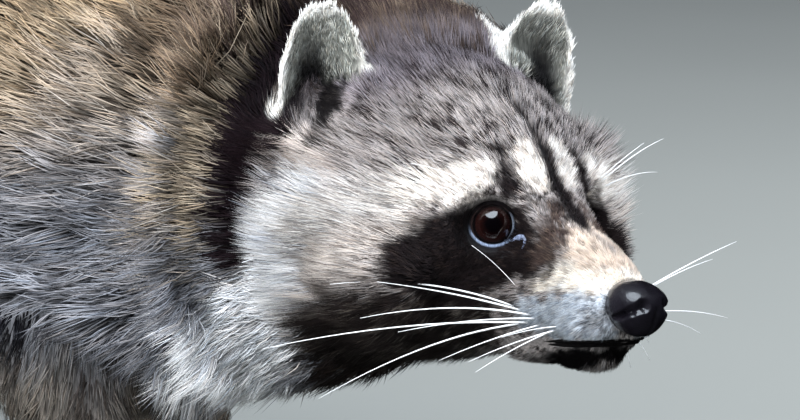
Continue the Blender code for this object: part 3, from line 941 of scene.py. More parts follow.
def mottle() -> bpy.types.NodeTree:
    """The node group of soft blotches between two colours, built once.

    Returns:
        The group: a place, fineness, detail and two colours go in, and their blend and the
        blotches' own value come out.
    """
    group = bpy.data.node_groups.get("mottle")
    if group:
        return group
    group = bpy.data.node_groups.new("mottle", "ShaderNodeTree")
    for way, sockets in (
        ("INPUT", (("Place", "Vector"), ("Fineness", "Float"), ("Detail", "Float"),
                   ("Dark", "Color"), ("Light", "Color"))),
        ("OUTPUT", (("Colour", "Color"), ("Grain", "Float"))),
    ):
        for label, kind in sockets:
            group.interface.new_socket(name=label, in_out=way, socket_type=f"NodeSocket{kind}")
    given, result = group.nodes.new("NodeGroupInput"), group.nodes.new("NodeGroupOutput")
    noise, blend = group.nodes.new("ShaderNodeTexNoise"), group.nodes.new("ShaderNodeMix")
    blend.data_type = "RGBA"
    for out, into in (
        (given.outputs["Place"], noise.inputs["Vector"]),
        (given.outputs["Fineness"], noise.inputs["Scale"]),
        (given.outputs["Detail"], noise.inputs["Detail"]),
        (noise.outputs[0], blend.inputs[0]),
        (given.outputs["Dark"], blend.inputs[6]),
        (given.outputs["Light"], blend.inputs[7]),
        (blend.outputs[2], result.inputs["Colour"]),
        (noise.outputs[0], result.inputs["Grain"]),
    ):
        group.links.new(out, into)
    return group


class Board:
    """The node tree of one material."""

    def __init__(self, name: str) -> None:
        """Starts a material with a Principled BSDF on its output.

        Args:
            name: the material's name.
        """
        self.material = bpy.data.materials.new(name)
        self.material.use_nodes = True
        self.tree = self.material.node_tree
        self.tree.nodes.clear()
        self.shader = self.add("ShaderNodeBsdfPrincipled")
        self.join(self.shader.outputs[0], self.add("ShaderNodeOutputMaterial").inputs[0])

    def add(self, kind: str, **settings: object) -> bpy.types.Node:
        """A node with its settings; a key that names a socket sets that socket.

        Args:
            kind: the node's type.
            settings: properties and socket values.

        Returns:
            The node.
        """
        node = self.tree.nodes.new(kind)
        for key, value in settings.items():
            if hasattr(node, key):
                setattr(node, key, value)
            else:
                node.inputs[key.replace("_", " ")].default_value = value
        return node

    def join(self, out: Socket, into: Socket) -> None:
        """Links one socket to another."""
        self.tree.links.new(out, into)

    def number(self, operation: str, first: object, second: object = 0.0) -> Socket:
        """The result of a calculation on sockets or plain numbers.

        Args:
            operation: what to calculate.
            first: first number.
            second: second number.

        Returns:
            The result.
        """
        node = self.add("ShaderNodeMath", operation=operation)
        for value, into in zip((first, second), node.inputs):
            if isinstance(value, Socket):
                self.join(value, into)
            else:
                into.default_value = value
        return node.outputs[0]

    def scale(self, value: Socket, source: tuple, target: tuple = (0.0, 1.0)) -> Socket:
        """A value's range spread over another range.

        Args:
            value: the value.
            source: its lowest and highest.
            target: what they become.

        Returns:
            The spread value.
        """
        node = self.add("ShaderNodeMapRange")
        self.join(value, node.inputs[0])
        for into, number in zip(node.inputs[1:5], (*source, *target)):
            into.default_value = number
        return node.outputs[0]

    def mottled(self, place: Socket, fineness: float, detail: float = 2.0,
                dark: tuple = (0, 0, 0), light: tuple = (255, 255, 255)) -> bpy.types.Node:
        """The mottle group with its own values.

        Args:
            place: coordinates.
            fineness: blotches in a metre.
            detail: how fine they break up.
            dark: darker colour, from 0 to 255.
            light: lighter colour.

        Returns:
            The group's node.
        """
        node = self.add("ShaderNodeGroup")
        node.node_tree = mottle()
        self.join(place, node.inputs["Place"])
        node.inputs["Fineness"].default_value = fineness
        node.inputs["Detail"].default_value = detail
        node.inputs["Dark"].default_value = (*linear(*dark), 1.0)
        node.inputs["Light"].default_value = (*linear(*light), 1.0)
        return node

    def place(self) -> Socket:
        """Object coordinates."""
        return self.add("ShaderNodeTexCoord").outputs["Object"]

    def split(self, vector: Socket) -> bpy.types.NodeOutputs:
        """The three parts of a vector.

        Args:
            vector: the vector.

        Returns:
            Its x, y and z.
        """
        node = self.add("ShaderNodeSeparateXYZ")
        self.join(vector, node.inputs[0])
        return node.outputs

    def blend(self, factor: object, first: object, second: object, mode: str = "MIX") -> Socket:
        """A mix of two colours.

        Args:
            factor: share of the second.
            first: a socket or a colour from 0 to 255.
            second: the same.
            mode: how they blend.

        Returns:
            The mixed colour.
        """
        node = self.add("ShaderNodeMix", data_type="RGBA", blend_type=mode)
        for value, into in ((factor, node.inputs[0]), (first, node.inputs[6]), (second, node.inputs[7])):
            if isinstance(value, Socket):
                self.join(value, into)
            elif isinstance(value, (float, int)):
                into.default_value = value
            else:
                into.default_value = (*linear(*value), 1.0)
        return node.outputs[2]

    def set(self, **values: object) -> None:
        """Sets the shader's sockets, with underscores for the spaces in their names.

        Args:
            values: sockets or plain values.
        """
        for key, value in values.items():
            into = self.shader.inputs[key.replace("_", " ")]
            if isinstance(value, Socket):
                self.join(value, into)
            else:
                into.default_value = value

    def bump(self, height: Socket, strength: float, distance: float) -> None:
        """Gives the shader a bump from a height.

        Args:
            height: the height.
            strength: how strongly it shows.
            distance: its depth in metres.
        """
        node = self.add("ShaderNodeBump")
        node.inputs["Strength"].default_value = strength
        node.inputs["Distance"].default_value = distance
        self.join(height, node.inputs["Height"])
        self.join(node.outputs[0], self.shader.inputs["Normal"])


@dataclass(frozen=True)
class SkinFinish:
    """Short flat hair and bare skin, in the same markings as the coat."""

    grain: float = 1500.0
    run: float = 0.11
    foot_top: tuple = (0.03, 0.045)
    seen: tuple = (0.32, 0.68)
    tone: tuple = (0.45, 1.35)
    roughness: float = 0.62
    wet_gloss: float = 0.46
    bump_strength: float = 0.6
    bump_height: float = 0.0008

    def material(self) -> bpy.types.Material:
        """The skin's material.

        Returns:
            The material.
        """
        board = Board("skin")
        tint = board.add("ShaderNodeAttribute", attribute_name="tint")
        wet = board.add("ShaderNodeAttribute", attribute_name="wet").outputs["Fac"]
        place = board.place()
        hairs = []
        for stretch in ((1.0, 1.0, self.run), (self.run, 1.0, 1.0)):
            turned = board.add("ShaderNodeVectorMath", operation="MULTIPLY")
            turned.inputs[1].default_value = stretch
            board.join(place, turned.inputs[0])
            hairs.append(board.mottled(turned.outputs[0], self.grain, 3.0).outputs["Grain"])
        high = board.scale(board.split(place)[2], self.foot_top)
        hair = board.number("ADD", board.number("MULTIPLY", hairs[0], high),
                            board.number("MULTIPLY", hairs[1], board.number("SUBTRACT", 1.0, high)))
        shade = board.scale(hair, self.seen, self.tone)
        colour = board.blend(1.0, tint.outputs["Color"], shade, "MULTIPLY")
        rough = board.number("MULTIPLY_ADD", wet, -self.wet_gloss)
        rough.node.inputs[2].default_value = self.roughness
        board.set(Base_Color=colour, Roughness=rough, Coat_Weight=wet, Coat_Roughness=0.08)
        board.bump(hair, self.bump_strength, self.bump_height)
        return board.material


@dataclass(frozen=True)
class CoatFinish:
    """Fine hair with a soft sheen."""

    roughness: float = 0.55
    specular: float = 0.12

    def material(self) -> bpy.types.Material:
        """The coat's material.

        Returns:
            The material.
        """
        board = Board("coat")
        tint = board.add("ShaderNodeAttribute", attribute_name="tint")
        board.set(Base_Color=tint.outputs["Color"], Roughness=self.roughness)
        board.shader.inputs["Specular IOR Level"].default_value = self.specular
        return board.material


@dataclass(frozen=True)
class EyeFinish:
    """A dark brown iris under a wet cornea, with a dark rim and a painted bluish reflection on the white
    near the nose.

    Pupil, iris and rim are half angles from the gaze, in degrees.
    """

    pupil: float = 23.0
    pupil_soft: float = 8.0
    iris: float = 47.0
    iris_soft: float = 5.0
    rim: float = 53.0
    rim_soft: float = 2.5
    fibres_around: float = 90.0
    fibres_out: float = 0.09
    corner_reach: float = 0.12
    black: tuple = (3, 2, 3)
    fibre_dark: tuple = (9, 4, 4)
    fibre_light: tuple = (24, 9, 8)
    iris_edge: tuple = (26, 10, 9)
    ring: tuple = (7, 5, 6)
    white: tuple = (44, 34, 34)
    corner_white: tuple = (186, 200, 222)

    def material(self) -> bpy.types.Material:
        """The eyeball's material, read from its own round map.

        Returns:
            The material.
        """
        board = Board("eye")
        around, out = board.split(board.add("ShaderNodeUVMap", uv_map="round").outputs[0])[:2]
        off_axis = board.scale(out, (1.0, 0.0), (0.0, 180.0))
        spun = board.add("ShaderNodeCombineXYZ")
        board.join(board.number("MULTIPLY", around, self.fibres_around), spun.inputs[0])
        board.join(board.number("MULTIPLY", off_axis, self.fibres_out), spun.inputs[1])
        spokes = board.mottled(spun.outputs[0], 1.0, 3.0).outputs["Grain"]
        fibres = board.blend(board.scale(spokes, (0.35, 0.65)), self.fibre_dark, self.fibre_light)
        seen = board.blend(board.scale(off_axis, (self.pupil, self.iris)), fibres, self.iris_edge)
        pupil = (self.pupil - self.pupil_soft, self.pupil + self.pupil_soft)
        seen = board.blend(board.scale(off_axis, pupil), self.black, seen)
        seen = board.blend(board.scale(off_axis, (self.iris - self.iris_soft, self.iris)), seen, self.ring)
        # Painted reflection: the white turns bluish white toward the corner near the nose.
        from_nose = board.number("ABSOLUTE", board.number("SUBTRACT", around, 0.5))
        corner = board.scale(from_nose, (0.0, self.corner_reach), (1.0, 0.0))
        white = board.blend(corner, self.white, self.corner_white)
        seen = board.blend(board.scale(off_axis, (self.rim, self.rim + self.rim_soft)), seen, white)
        board.set(Base_Color=seen, Roughness=0.12, Coat_Weight=1.0, Coat_Roughness=0.02, Coat_IOR=1.7)
        return board.material


@dataclass(frozen=True)
class NoseFinish:
    """Moist black leather in small cobbles."""

    cobbles: float = 1500.0
    blotches: float = 260.0
    dark: tuple = (6, 5, 8)
    light: tuple = (24, 22, 29)
    bump_strength: float = 0.3
    bump_height: float = 0.0004

    def material(self) -> bpy.types.Material:
        """The nose pad's material.

        Returns:
            The material.
        """
        board = Board("nose_leather")
        place = board.place()
        cells = board.add("ShaderNodeTexVoronoi", Scale=self.cobbles)
        board.join(place, cells.inputs["Vector"])
        patchy = board.mottled(place, self.blotches, 4.0, self.dark, self.light)
        rough = board.scale(patchy.outputs["Grain"], (0.3, 0.7), (0.3, 0.5))
        board.set(Base_Color=patchy.outputs["Colour"], Roughness=rough)
        board.set(Coat_Weight=1.0, Coat_Roughness=0.16, Coat_IOR=1.6)
        board.bump(cells.outputs["Distance"], self.bump_strength, self.bump_height)
        return board.material


@dataclass(frozen=True)
class HornFinish:
    """Dark translucent-looking claw horn, paler to the tip."""

    fineness: float = 900.0
    tip_height: tuple = (0.001, 0.008)
    mottling: float = 0.3
    dark: tuple = (38, 30, 26)
    light: tuple = (112, 96, 78)
    roughness: float = 0.32

    def material(self) -> bpy.types.Material:
        """The claws' material.

        Returns:
            The material.
        """
        board = Board("claw_horn")
        place = board.place()
        grain = board.mottled(place, self.fineness).outputs["Grain"]
        pale = board.scale(board.split(place)[2], self.tip_height, (1.0, 0.0))
        tone = board.number("ADD", pale, board.number("MULTIPLY", grain, self.mottling))
        colour = board.blend(tone, self.dark, self.light)
        board.set(Base_Color=colour, Roughness=self.roughness, Coat_Weight=0.2)
        return board.material


@dataclass(frozen=True)
class WhiskerFinish:
    """Stiff white bristle."""

    fineness: float = 60.0
    dark: tuple = (214, 218, 224)
    light: tuple = (250, 250, 250)
    roughness: float = 0.35

    def material(self) -> bpy.types.Material:
        """The whiskers' material.

        Returns:
            The material.
        """
        board = Board("whisker")
        colour = board.mottled(board.place(), self.fineness, dark=self.dark, light=self.light)
        board.set(Base_Color=colour.outputs["Colour"], Roughness=self.roughness)
        return board.material


@dataclass(frozen=True)
class StageFinish:
    """Plain pale floor and backdrop."""

    fineness: float = 3.0
    dark: tuple = (133, 136, 133)
    light: tuple = (138, 141, 138)
    roughness: float = 0.9

    def material(self) -> bpy.types.Material:
        """The stage's material.

        Returns:
            The material.
        """
        board = Board("stage")
        colour = board.mottled(board.place(), self.fineness, dark=self.dark, light=self.light)
        board.set(Base_Color=colour.outputs["Colour"], Roughness=self.roughness)
        return board.material


def evened(path: Rows, times: int) -> None:
    """Smooths a path's inner points in place, a number of times."""
    for _ in range(times):
        path[1:-1] = (path[:-2] + 2 * path[1:-1] + path[2:]) / 4


def tubes(paths: list, radii: list, sides: int) -> tuple:
    """Closed round tubes along paths.

    Args:
        paths: one array of centre points in metres for each tube.
        radii: one array of radii in metres for each tube.
        sides: corners of a section.

    Returns:
        Points and triangles of all tubes together.
    """
    points, faces, start = [], [], 0
    turn = np.arange(sides) * 2 * math.pi / sides
    for path, radius in zip(paths, radii):
        tangent = unit(np.gradient(path, axis=0))
        across = unit(np.cross(tangent, tangent.mean(axis=0) + np.array((0.3, 0.2, 0.9))))
        above = np.cross(across, tangent)
        ring = across[:, None] * np.cos(turn)[None, :, None] + above[:, None] * np.sin(turn)[None, :, None]
        points.append((path[:, None] + ring * radius[:, None, None]).reshape(-1, 3))
        points.append(path[[0, -1]])
        rows = len(path)
        for k in range(sides):
            after = (k + 1) % sides
            low, high = start + np.arange(rows - 1) * sides, start + np.arange(1, rows) * sides
            faces.append(np.stack([low + k, low + after, high + after], axis=1))
            faces.append(np.stack([low + k, high + after, high + k], axis=1))
            first, last = start + rows * sides, start + (rows - 1) * sides
            faces.append(np.array([[first, start + after, start + k], [first + 1, last + k, last + after]]))
        start += rows * sides + 2
    return np.concatenate(points), np.concatenate(faces)


@dataclass(frozen=True)
class Eye:
    """An eyeball with the lids that hold it.

    Openings are half angles toward the nose, up, outward and down. The corner gives the tear
    corner's turn, reach and width. A lid ring gives degrees beyond the opening and mm off the
    ball, and the next two rows its share of the painted bluish reflection on the wet lower rim and
    on the wet tear corner. A point of the tear's line gives its place toward the nose and up, and
    its radius, in mm.
    """

    head: HeadFrame
    side: Side
    ball: float = 8.5
    cornea_lift: float = 0.045
    cornea_edge: float = 48.0
    openings: tuple = (70.0, 55.0, 64.0, 55.0)
    corner: tuple = (-24.0, 13.0, 15.0)
    lid_rings: tuple = (
        (-7, -0.4), (-1, 0.0), (0.6, 0.4), (2.2, 0.75), (3.6, 1.0), (7, 1.3), (12, 1.45),
        (16, 1.15), (20, 1.35), (27, 1.1), (36, 0.2), (48, -1.6),
    )
    # Shares, ring by ring, of the painted bluish reflection on the wet lower rim and on the tear corner.
    rim_pale: tuple = (0.2, 0.8, 1.0, 0.4, 0.0, 0.0, 0.0, 0.0, 0.0, 0.0, 0.0, 0.0)
    tear_pale: tuple = (0.7, 1.0, 1.0, 1.0, 1.0, 0.95, 0.6, 0.0, 0.0, 0.0, 0.0, 0.0)
    tear_place: float = 24.0
    tear_lift: float = 1.5
    tear_rings: range = range(2, 9)
    tear_on_ring: int = 5
    lid_dark: tuple = (14, 11, 13)
    # Bluish white of the painted reflection on the wet rim.
    lid_pale: tuple = (156, 174, 206)
    steps: int = 96
    tear_line: tuple = (
        (7.0, -5.4, 0.4), (8.2, -4.5, 0.95), (9.4, -4.0, 1.25), (10.6, -3.6, 1.1),
        (11.3, -4.2, 0.75), (11.2, -5.8, 0.55), (10.6, -7.2, 0.4), (9.8, -8.4, 0.1),
    )

    def axes(self) -> tuple:
        """Its place and its own directions.

        Returns:
            Its centre, gaze, way to the nose and way up, in the world.
        """
        sign = float(self.side.value)
        out, lift = math.radians(GAZE_OUT), math.radians(GAZE_UP)
        level = math.cos(lift)
        gaze = np.array((math.cos(out) * level, sign * math.sin(out) * level, math.sin(lift)))
        up = unit(np.array((0.0, 0.0, 1.0)) - gaze * gaze[2])
        inner = -sign * np.cross(up, gaze)
        return (np.array(self.head.eyes[self.side]), *self.head.turn(np.array((gaze, inner, up))))

    def build_ball(self) -> Piece:
        """The eyeball with a slightly domed cornea and a round map about its gaze.

        Returns:
            The ball's object.
        """
        centre, gaze, inner, up = self.axes()
        deselect()
        bpy.ops.mesh.primitive_uv_sphere_add(segments=72, ring_count=60, radius=self.ball * MM)
        piece = bpy.context.view_layer.objects.active
        piece.name = piece.data.name = f"eyeball_{self.side.label}"
        mesh = piece.data
        spots = read_vectors(mesh.vertices, "co")
        off = np.arccos(np.clip(spots[:, 2] / (self.ball * MM), -1, 1))
        spots *= (1 + self.cornea_lift * ramp(math.radians(self.cornea_edge), 0, off))[:, None]
        turned = spots[:, :1] * inner + spots[:, 1:2] * up + spots[:, 2:] * gaze
        handed = np.dot(np.cross(inner, up), gaze)
        mesh.vertices.foreach_set("co", (turned + centre).astype(np.float32).ravel())
        around = (np.arctan2(spots[:, 1], spots[:, 0]) / (2 * math.pi) + 0.5) % 1.0
        self._map(mesh, around, 1 - off / math.pi)
        if handed < 0:
            mesh.flip_normals()
        mesh.shade_smooth()
        mesh.materials.append(EyeFinish().material())
        return piece

    def _map(self, mesh: bpy.types.Mesh, around: Rows, high: Rows) -> None:
        """Writes the round map, with faces over its seam kept whole.

        Args:
            mesh: the ball's mesh.
            around: share of a turn at each vertex.
            high: share from back to front.
        """
        layer = mesh.uv_layers[0]
        layer.name = "round"
        for face in mesh.polygons:
            turns = [around[v] for v in face.vertices]
            wraps = max(turns) - min(turns) > 0.5
            for loop, vertex in zip(face.loop_indices, face.vertices):
                shift = 1.0 if wraps and around[vertex] < 0.5 else 0.0
                layer.data[loop].uv = (around[vertex] + shift, high[vertex])

    def opening(self, turn: Rows) -> Rows:
        """Half angle of the opening in degrees, from the side near the nose upward.

        Args:
            turn: angles round the gaze.

        Returns:
            One angle for each.
        """
        inner, upper, outer, lower = self.openings
        wide = np.where(np.cos(turn) > 0, inner, outer)
        tall = np.where(np.sin(turn) > 0, upper, lower)
        half = 1 / np.sqrt((np.cos(turn) / wide) ** 2 + (np.sin(turn) / tall) ** 2)
        place, reach, width = self.corner
        away = (np.degrees(turn) - place + 180) % 360 - 180
        return half + reach * np.exp(-((away / width) ** 2))

    def build_lids(self) -> tuple:
        """The lids, closed round the ball.

        Returns:
            The lids' object, and its colours and wetness for each vertex.
        """
        centre, gaze, inner, up = self.axes()
        turn = np.arange(self.steps) * 2 * math.pi / self.steps
        half = self.opening(turn)
        rows, tints, wets = [], [], []
        lower = ramp(0.0, -0.55, np.sin(turn)) * (0.62 + 0.38 * np.cos(turn + 0.9))
        tear = ramp(0.87, 0.96, np.cos(turn + math.radians(self.tear_place)))
        out = np.cos(turn)[:, None] * inner + np.sin(turn)[:, None] * up
        for number, (beyond, lift) in enumerate(self.lid_rings):
            angle = np.radians(half + beyond)
            spots = np.cos(angle)[:, None] * gaze + np.sin(angle)[:, None] * out
            raised = self.ball + lift + self.tear_lift * tear * (number in self.tear_rings)
            rows.append(centre + spots * (raised * MM)[:, None])
            # Painted reflection: the wet lower rim and the tear corner are lightened toward a bluish white.
            pale = np.maximum(lower * self.rim_pale[number], tear * self.tear_pale[number])
            tints.append(mix(linear(*self.lid_dark), linear(*self.lid_pale), pale))
            wets.append(0.25 + 0.75 * np.clip(pale, 0, 1))
        index = np.arange(self.steps)
        after = (index + 1) % self.steps
        faces = []
        for row in range(len(rows) - 1):
            low, high = row * self.steps, (row + 1) * self.steps
            faces.append(np.stack([low + index, low + after, high + after], axis=1))
            faces.append(np.stack([low + index, high + after, high + index], axis=1))
        faces = np.concatenate(faces)
        points = np.concatenate(rows)
        corners = points[faces]
        facing = np.cross(corners[:, 1] - corners[:, 0], corners[:, 2] - corners[:, 0])
        if (facing * (corners.mean(axis=1) - centre)).sum() < 0:
            faces = faces[:, ::-1]
        lids = mesh_object(f"lids_{self.side.label}", points, faces)
        return lids, np.concatenate(tints), np.concatenate(wets)

    def build_tear(self, tree: BVHTree) -> Piece:
        """The wet fold at the corner near the nose, laid on the skin.

        Args:
            tree: the skin's surface in the world.

        Returns:
            The fold's object.
        """
        centre, gaze, inner, up = self.axes()
        table = np.array(self.tear_line)
        places = np.linspace(0, 1, len(table))
        fine = np.linspace(0, 1, self.steps // 3)
        across, high, radius = (np.interp(fine, places, column) for column in table.T)
        path = centre + (np.outer(across, inner) + np.outer(high, up)) * MM
        lid = self.ball + self.lid_rings[self.tear_on_ring][1]
        on_lid = np.sqrt(np.maximum(lid ** 2 - across ** 2 - high ** 2, 0.0)) * MM
        before = RAY_START * MM
        for number, start in enumerate(path + gaze * before):
            reach = tree.ray_cast(Vector(start), Vector(-gaze))[3]
            on_skin = before - reach if reach is not None else 0.0
            path[number] += gaze * max(on_lid[number], on_skin)
        evened(path, 4)
        return mesh_object(f"tear_{self.side.label}", *tubes([path], [radius * MM], TUBE_SIDES))


@dataclass(frozen=True)
class Lips:
    """Black lips along the mouth's line."""

    head: HeadFrame
    centre: float = 20.0
    reach: float = 128.0
    steps: int = 90
    radius: float = 1.35
    spread: float = 0.6
    sunk: float = 1.25
    outside: float = 90
    thinning: float = 0.75

    def build(self, tree: BVHTree) -> tuple:
        """The lips' points and triangles.

        Args:
            tree: the skin's surface in the world.

        Returns:
            Points in metres and rows of corner numbers.
        """
        paths, radii = [], []
        middle = np.array((self.centre, 0.0, mouth_height(self.centre)))
        for sign in (1, -1):
            spots = []
            for angle in np.radians(np.linspace(-self.reach, self.reach, self.steps)):
                way = np.array((math.cos(angle), math.sin(angle), math.cos(angle) * MOUTH_SLOPE))
                far = middle + way * self.outside + np.array((0, 0, sign * self.spread))
                start, ray = self.head.place(far[None])[0], -self.head.turn(way[None])[0]
                hit = tree.ray_cast(Vector(start), Vector(ray))[0]
                if hit is not None:
                    spots.append(np.array(hit) + unit(ray) * self.sunk * MM)
            path = np.array(spots)
            evened(path, 3)
            share = np.linspace(-1, 1, len(path))
            paths.append(path)
            radii.append(self.radius * MM * (1 - self.thinning * np.abs(share) ** 3))
        return tubes(paths, radii, TUBE_SIDES)


@dataclass(frozen=True)
class Surface:
    """The bare skin as arrays: what the coat is rooted in."""

    points: Rows
    normals: Rows
    triangles: Rows
    weights: Rows
    uv: Rows


@dataclass(frozen=True)
class Skin:
    """One skin over the whole body, inside the coat by the coat's depth."""

    head: HeadFrame
    markings: Markings
    grooming: Grooming
    voxel: float = 1.5 * MM
    grown: float = 0.42 * MM
    smoothing: int = 4
    kept: float = 0.30
    blend_steps: int = 14
    fold_steps: int = 22
    skull: tuple = (65.0, 62.0)
    skull_middle: float = -8.0
    skull_margin: float = 1.06
    ear_half: float = 1.15
    ear_ahead: tuple = (-19, 6)
    head_back: tuple = (-58, -84)
    face_front: tuple = (-60, -20)
    foot_share: float = 0.8
    thin_levels: int = 4
    least_share: float = 0.02
    tip_share: float = 0.3
    # Bluish grey of the tear folds: a painted reflection on the wet fold.
    tear_tint: tuple = (98, 107, 130)
    lip_tint: tuple = (9, 8, 9)

    def build(self) -> tuple:
        """The finished skin and its surface as arrays.

        Returns:
            The skin's object and its Surface.
        """
        piece = self._fused()
        labels = self._labels(piece)
        weights = self._spread(piece, labels)
        self._sink(piece, weights)
        self._thin(piece, weights)
        labels = self._labels(piece)
        weights = self._spread(piece, labels)
        own = len(piece.data.polygons)
        piece = self._with_lids_and_lips(piece, weights)
        self._unwrap(piece)
        piece.data.materials.append(SkinFinish().material())
        return piece, self._surface(piece, weights, own)

    def _fused(self) -> Piece:
        """The flesh nodes as one smooth closed mesh.

        Returns:
            The mesh's object.
        """
        pieces = []
        for node in FLESH:
            part = weld(copied(node))
            grow = part.modifiers.new("grow", "DISPLACE")
            grow.strength = self.grown
            grow.mid_level = 0.0
            pieces.append(settle(part))
        piece = joined(pieces, "skin")
        remesh = piece.modifiers.new("fuse", "REMESH")
        remesh.mode = "VOXEL"
        remesh.voxel_size = self.voxel
        smooth = piece.modifiers.new("smooth", "SMOOTH")
        smooth.factor = 0.5
        smooth.iterations = self.smoothing
        return settle(piece)

    def _labels(self, piece: Piece) -> Rows:
        """Region of each vertex, by the nearest flesh node.

        Args:
            piece: the object.

        Returns:
            A number in the order of ORDER for each vertex.
        """
        corners, faces, owners = [], [], []
        for node in FLESH:
            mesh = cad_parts[node].data
            start = len(corners)
            corners += [v.co.copy() for v in mesh.vertices]
            faces += [[start + v for v in p.vertices] for p in mesh.polygons]
            region = next(r for begin, r in REGION_STARTS if node.startswith(begin))
            owners += [ORDER.index(region)] * len(mesh.polygons)
        tree = BVHTree.FromPolygons(corners, faces)
        labels = np.array([owners[tree.find_nearest(v.co)[2]] for v in piece.data.vertices])
        local = self.head.measure(read_vectors(piece.data.vertices, "co"))
        ear = EarPlace.of(local, local)
        wide, tall = local[:, 1] / self.skull[0], (local[:, 2] - self.skull_middle) / self.skull[1]
        beyond = np.hypot(wide, tall) > self.skull_margin
        behind, before = self.ear_ahead
        shell = (np.abs(ear.wide) < self.ear_half) & (ear.high > 0)
        shell &= (ear.ahead > behind) & (ear.ahead < before)
        labels[shell & beyond & (labels == ORDER.index(Region.HEAD))] = ORDER.index(Region.EARS)
        return labels

    def _spread(self, piece: Piece, labels: Rows) -> Rows:
        """Share of each region at each vertex, blended over the seams.

        Args:
            piece: the object.
            labels: region of each vertex.

        Returns:
            A row of shares for each vertex.
        """
        edges = read_ints(piece.data.edges, "vertices", 2)
        weights = self._soften(np.eye(len(ORDER))[labels], edges, np.ones(len(labels)), self.blend_steps)
        return weights / weights.sum(axis=1, keepdims=True)

    def _soften(self, rows: Rows, edges: Rows, share: Rows, steps: int) -> Rows:
        """Evens out rows of vertex values with their neighbours', where the share is high.

        Args:
            rows: the values.
            edges: pairs of neighbours.
            share: how much each may change.
            steps: how often.

        Returns:
            The evened rows.
        """
        first, second = edges[:, 0], edges[:, 1]
        count = np.maximum(np.bincount(edges.ravel(), minlength=len(rows)), 1)
        for _ in range(steps):
            total = np.empty_like(rows)
            for column in range(rows.shape[1]):
                values = rows[:, column]
                total[:, column] = np.bincount(first, values[second], len(rows))
                total[:, column] += np.bincount(second, values[first], len(rows))
            rows = mix(rows, total / count[:, None], 0.6 * share)
        return rows

    def _sink(self, piece: Piece, weights: Rows) -> None:
        """Moves the mesh in by the coat's depth.

        Args:
            piece: the object.
            weights: share of each region at each place.
        """
        points = read_vectors(piece.data.vertices, "co")
        normals = read_vectors(piece.data.vertices, "normal")
        edges = read_ints(piece.data.edges, "vertices", 2)
        back = ramp(*self.head_back, self.head.measure(points)[:, 0])
        body = part_of(weights, Region.NECK) + part_of(weights, Region.TRUNK)
        body = np.clip(body + back * part_of(weights, Region.HEAD), 0, 1)
        depth = self.grooming.sizes(points, weights)[:, 0] * MM
        normals = unit(self._soften(normals, edges, body, self.fold_steps))
        points -= normals * (depth + self.grown)[:, None]
        points = self._soften(points, edges, body, self.fold_steps)
        piece.data.vertices.foreach_set("co", points.astype(np.float32).ravel())
        piece.data.update()

    def _thin(self, piece: Piece, weights: Rows) -> None:
        """Joins small faces where the coat is long, and keeps those of the face.

        Args:
            piece: the object.
            weights: share of each region at each place.
        """
        points = read_vectors(piece.data.vertices, "co")
        forward = self.head.measure(points)[:, 0]
        fine = part_of(weights, Region.HEAD) * ramp(*self.face_front, forward)
        fine = np.maximum(fine, part_of(weights, Region.EARS))
        fine = np.maximum(fine, part_of(weights, Region.FEET) * self.foot_share)
        group = piece.vertex_groups.new(name="coarse")
        for level in range(self.thin_levels + 1):
            chosen = np.nonzero(np.round((1 - fine) * self.thin_levels) == level)[0]
            group.add(chosen.tolist(), max(level / self.thin_levels, self.least_share), "REPLACE")
        thin = piece.modifiers.new("thin", "DECIMATE")
        thin.ratio = self.kept
        thin.vertex_group = "coarse"
        thin.vertex_group_factor = 1.0
        thin.use_collapse_triangulate = True
        smooth = piece.modifiers.new("smooth", "SMOOTH")
        smooth.factor = 0.4
        smooth.iterations = 2
        settle(piece)
        piece.vertex_groups.clear()
        activate(piece)
        bpy.ops.object.mode_set(mode="EDIT")
        bpy.ops.mesh.select_all(action="SELECT")
        bpy.ops.mesh.quads_convert_to_tris()
        bpy.ops.mesh.normals_make_consistent(inside=False)
        bpy.ops.object.mode_set(mode="OBJECT")
        piece.data.shade_smooth()

    def _with_lids_and_lips(self, piece: Piece, weights: Rows) -> Piece:
        """Colours the skin and joins the lids, the tear folds and the lips to it.

        Args:
            piece: the skin's object.
            weights: share of each region at each vertex.

        Returns:
            The joined object.
        """
        points = read_vectors(piece.data.vertices, "co")
        normals = read_vectors(piece.data.vertices, "normal")
        rows = self.markings.shades(points, normals, weights)
        # The skin takes the colour near the tufts' roots: dark underfur, and partly painted shade under the
        # coat.
        paint(piece, mix(rows[:, :3], rows[:, 3:6], np.full(len(rows), self.tip_share)))
        note(piece, "wet", np.zeros(len(rows)))
        pieces = [piece]
        for side in Side:
            lids, tints, wets = Eye(self.head, side).build_lids()
            paint(lids, tints)
            note(lids, "wet", wets)
            pieces.append(lids)
        corners = [v.co for v in piece.data.vertices]
        tree = BVHTree.FromPolygons(corners, [p.vertices for p in piece.data.polygons])
        for side in Side:
            tear = Eye(self.head, side).build_tear(tree)
            # The tear folds take the bluish painted reflection as their colour.
            pieces.append(self._plain(tear, self.tear_tint, 1.0))
        lips = mesh_object("lips", *Lips(self.head).build(tree))
        pieces.append(self._plain(lips, self.lip_tint, 0.0))
        return joined(pieces, "skin")

    def _plain(self, piece: Piece, tint: tuple, wet: float) -> Piece:
        """Gives a piece one colour and one wetness all over.

        Args:
            piece: the object.
            tint: its colour, from 0 to 255.
            wet: its wetness, from 0 to 1.

        Returns:
            The same object.
        """
        count = len(piece.data.vertices)
        paint(piece, np.tile(linear(*tint), (count, 1)))
        note(piece, "wet", np.full(count, wet))
        return piece

    def _unwrap(self, piece: Piece) -> None:
        """Lays the skin out flat in its own map.

        Args:
            piece: the object.
        """
        for layer in list(piece.data.uv_layers):
            piece.data.uv_layers.remove(layer)
        piece.data.uv_layers.new(name="OFBake")
        activate(piece)
        bpy.ops.object.mode_set(mode="EDIT")
        bpy.ops.mesh.select_all(action="SELECT")
        bpy.ops.uv.smart_project(angle_limit=math.radians(66), island_margin=0.002)
        bpy.ops.object.mode_set(mode="OBJECT")

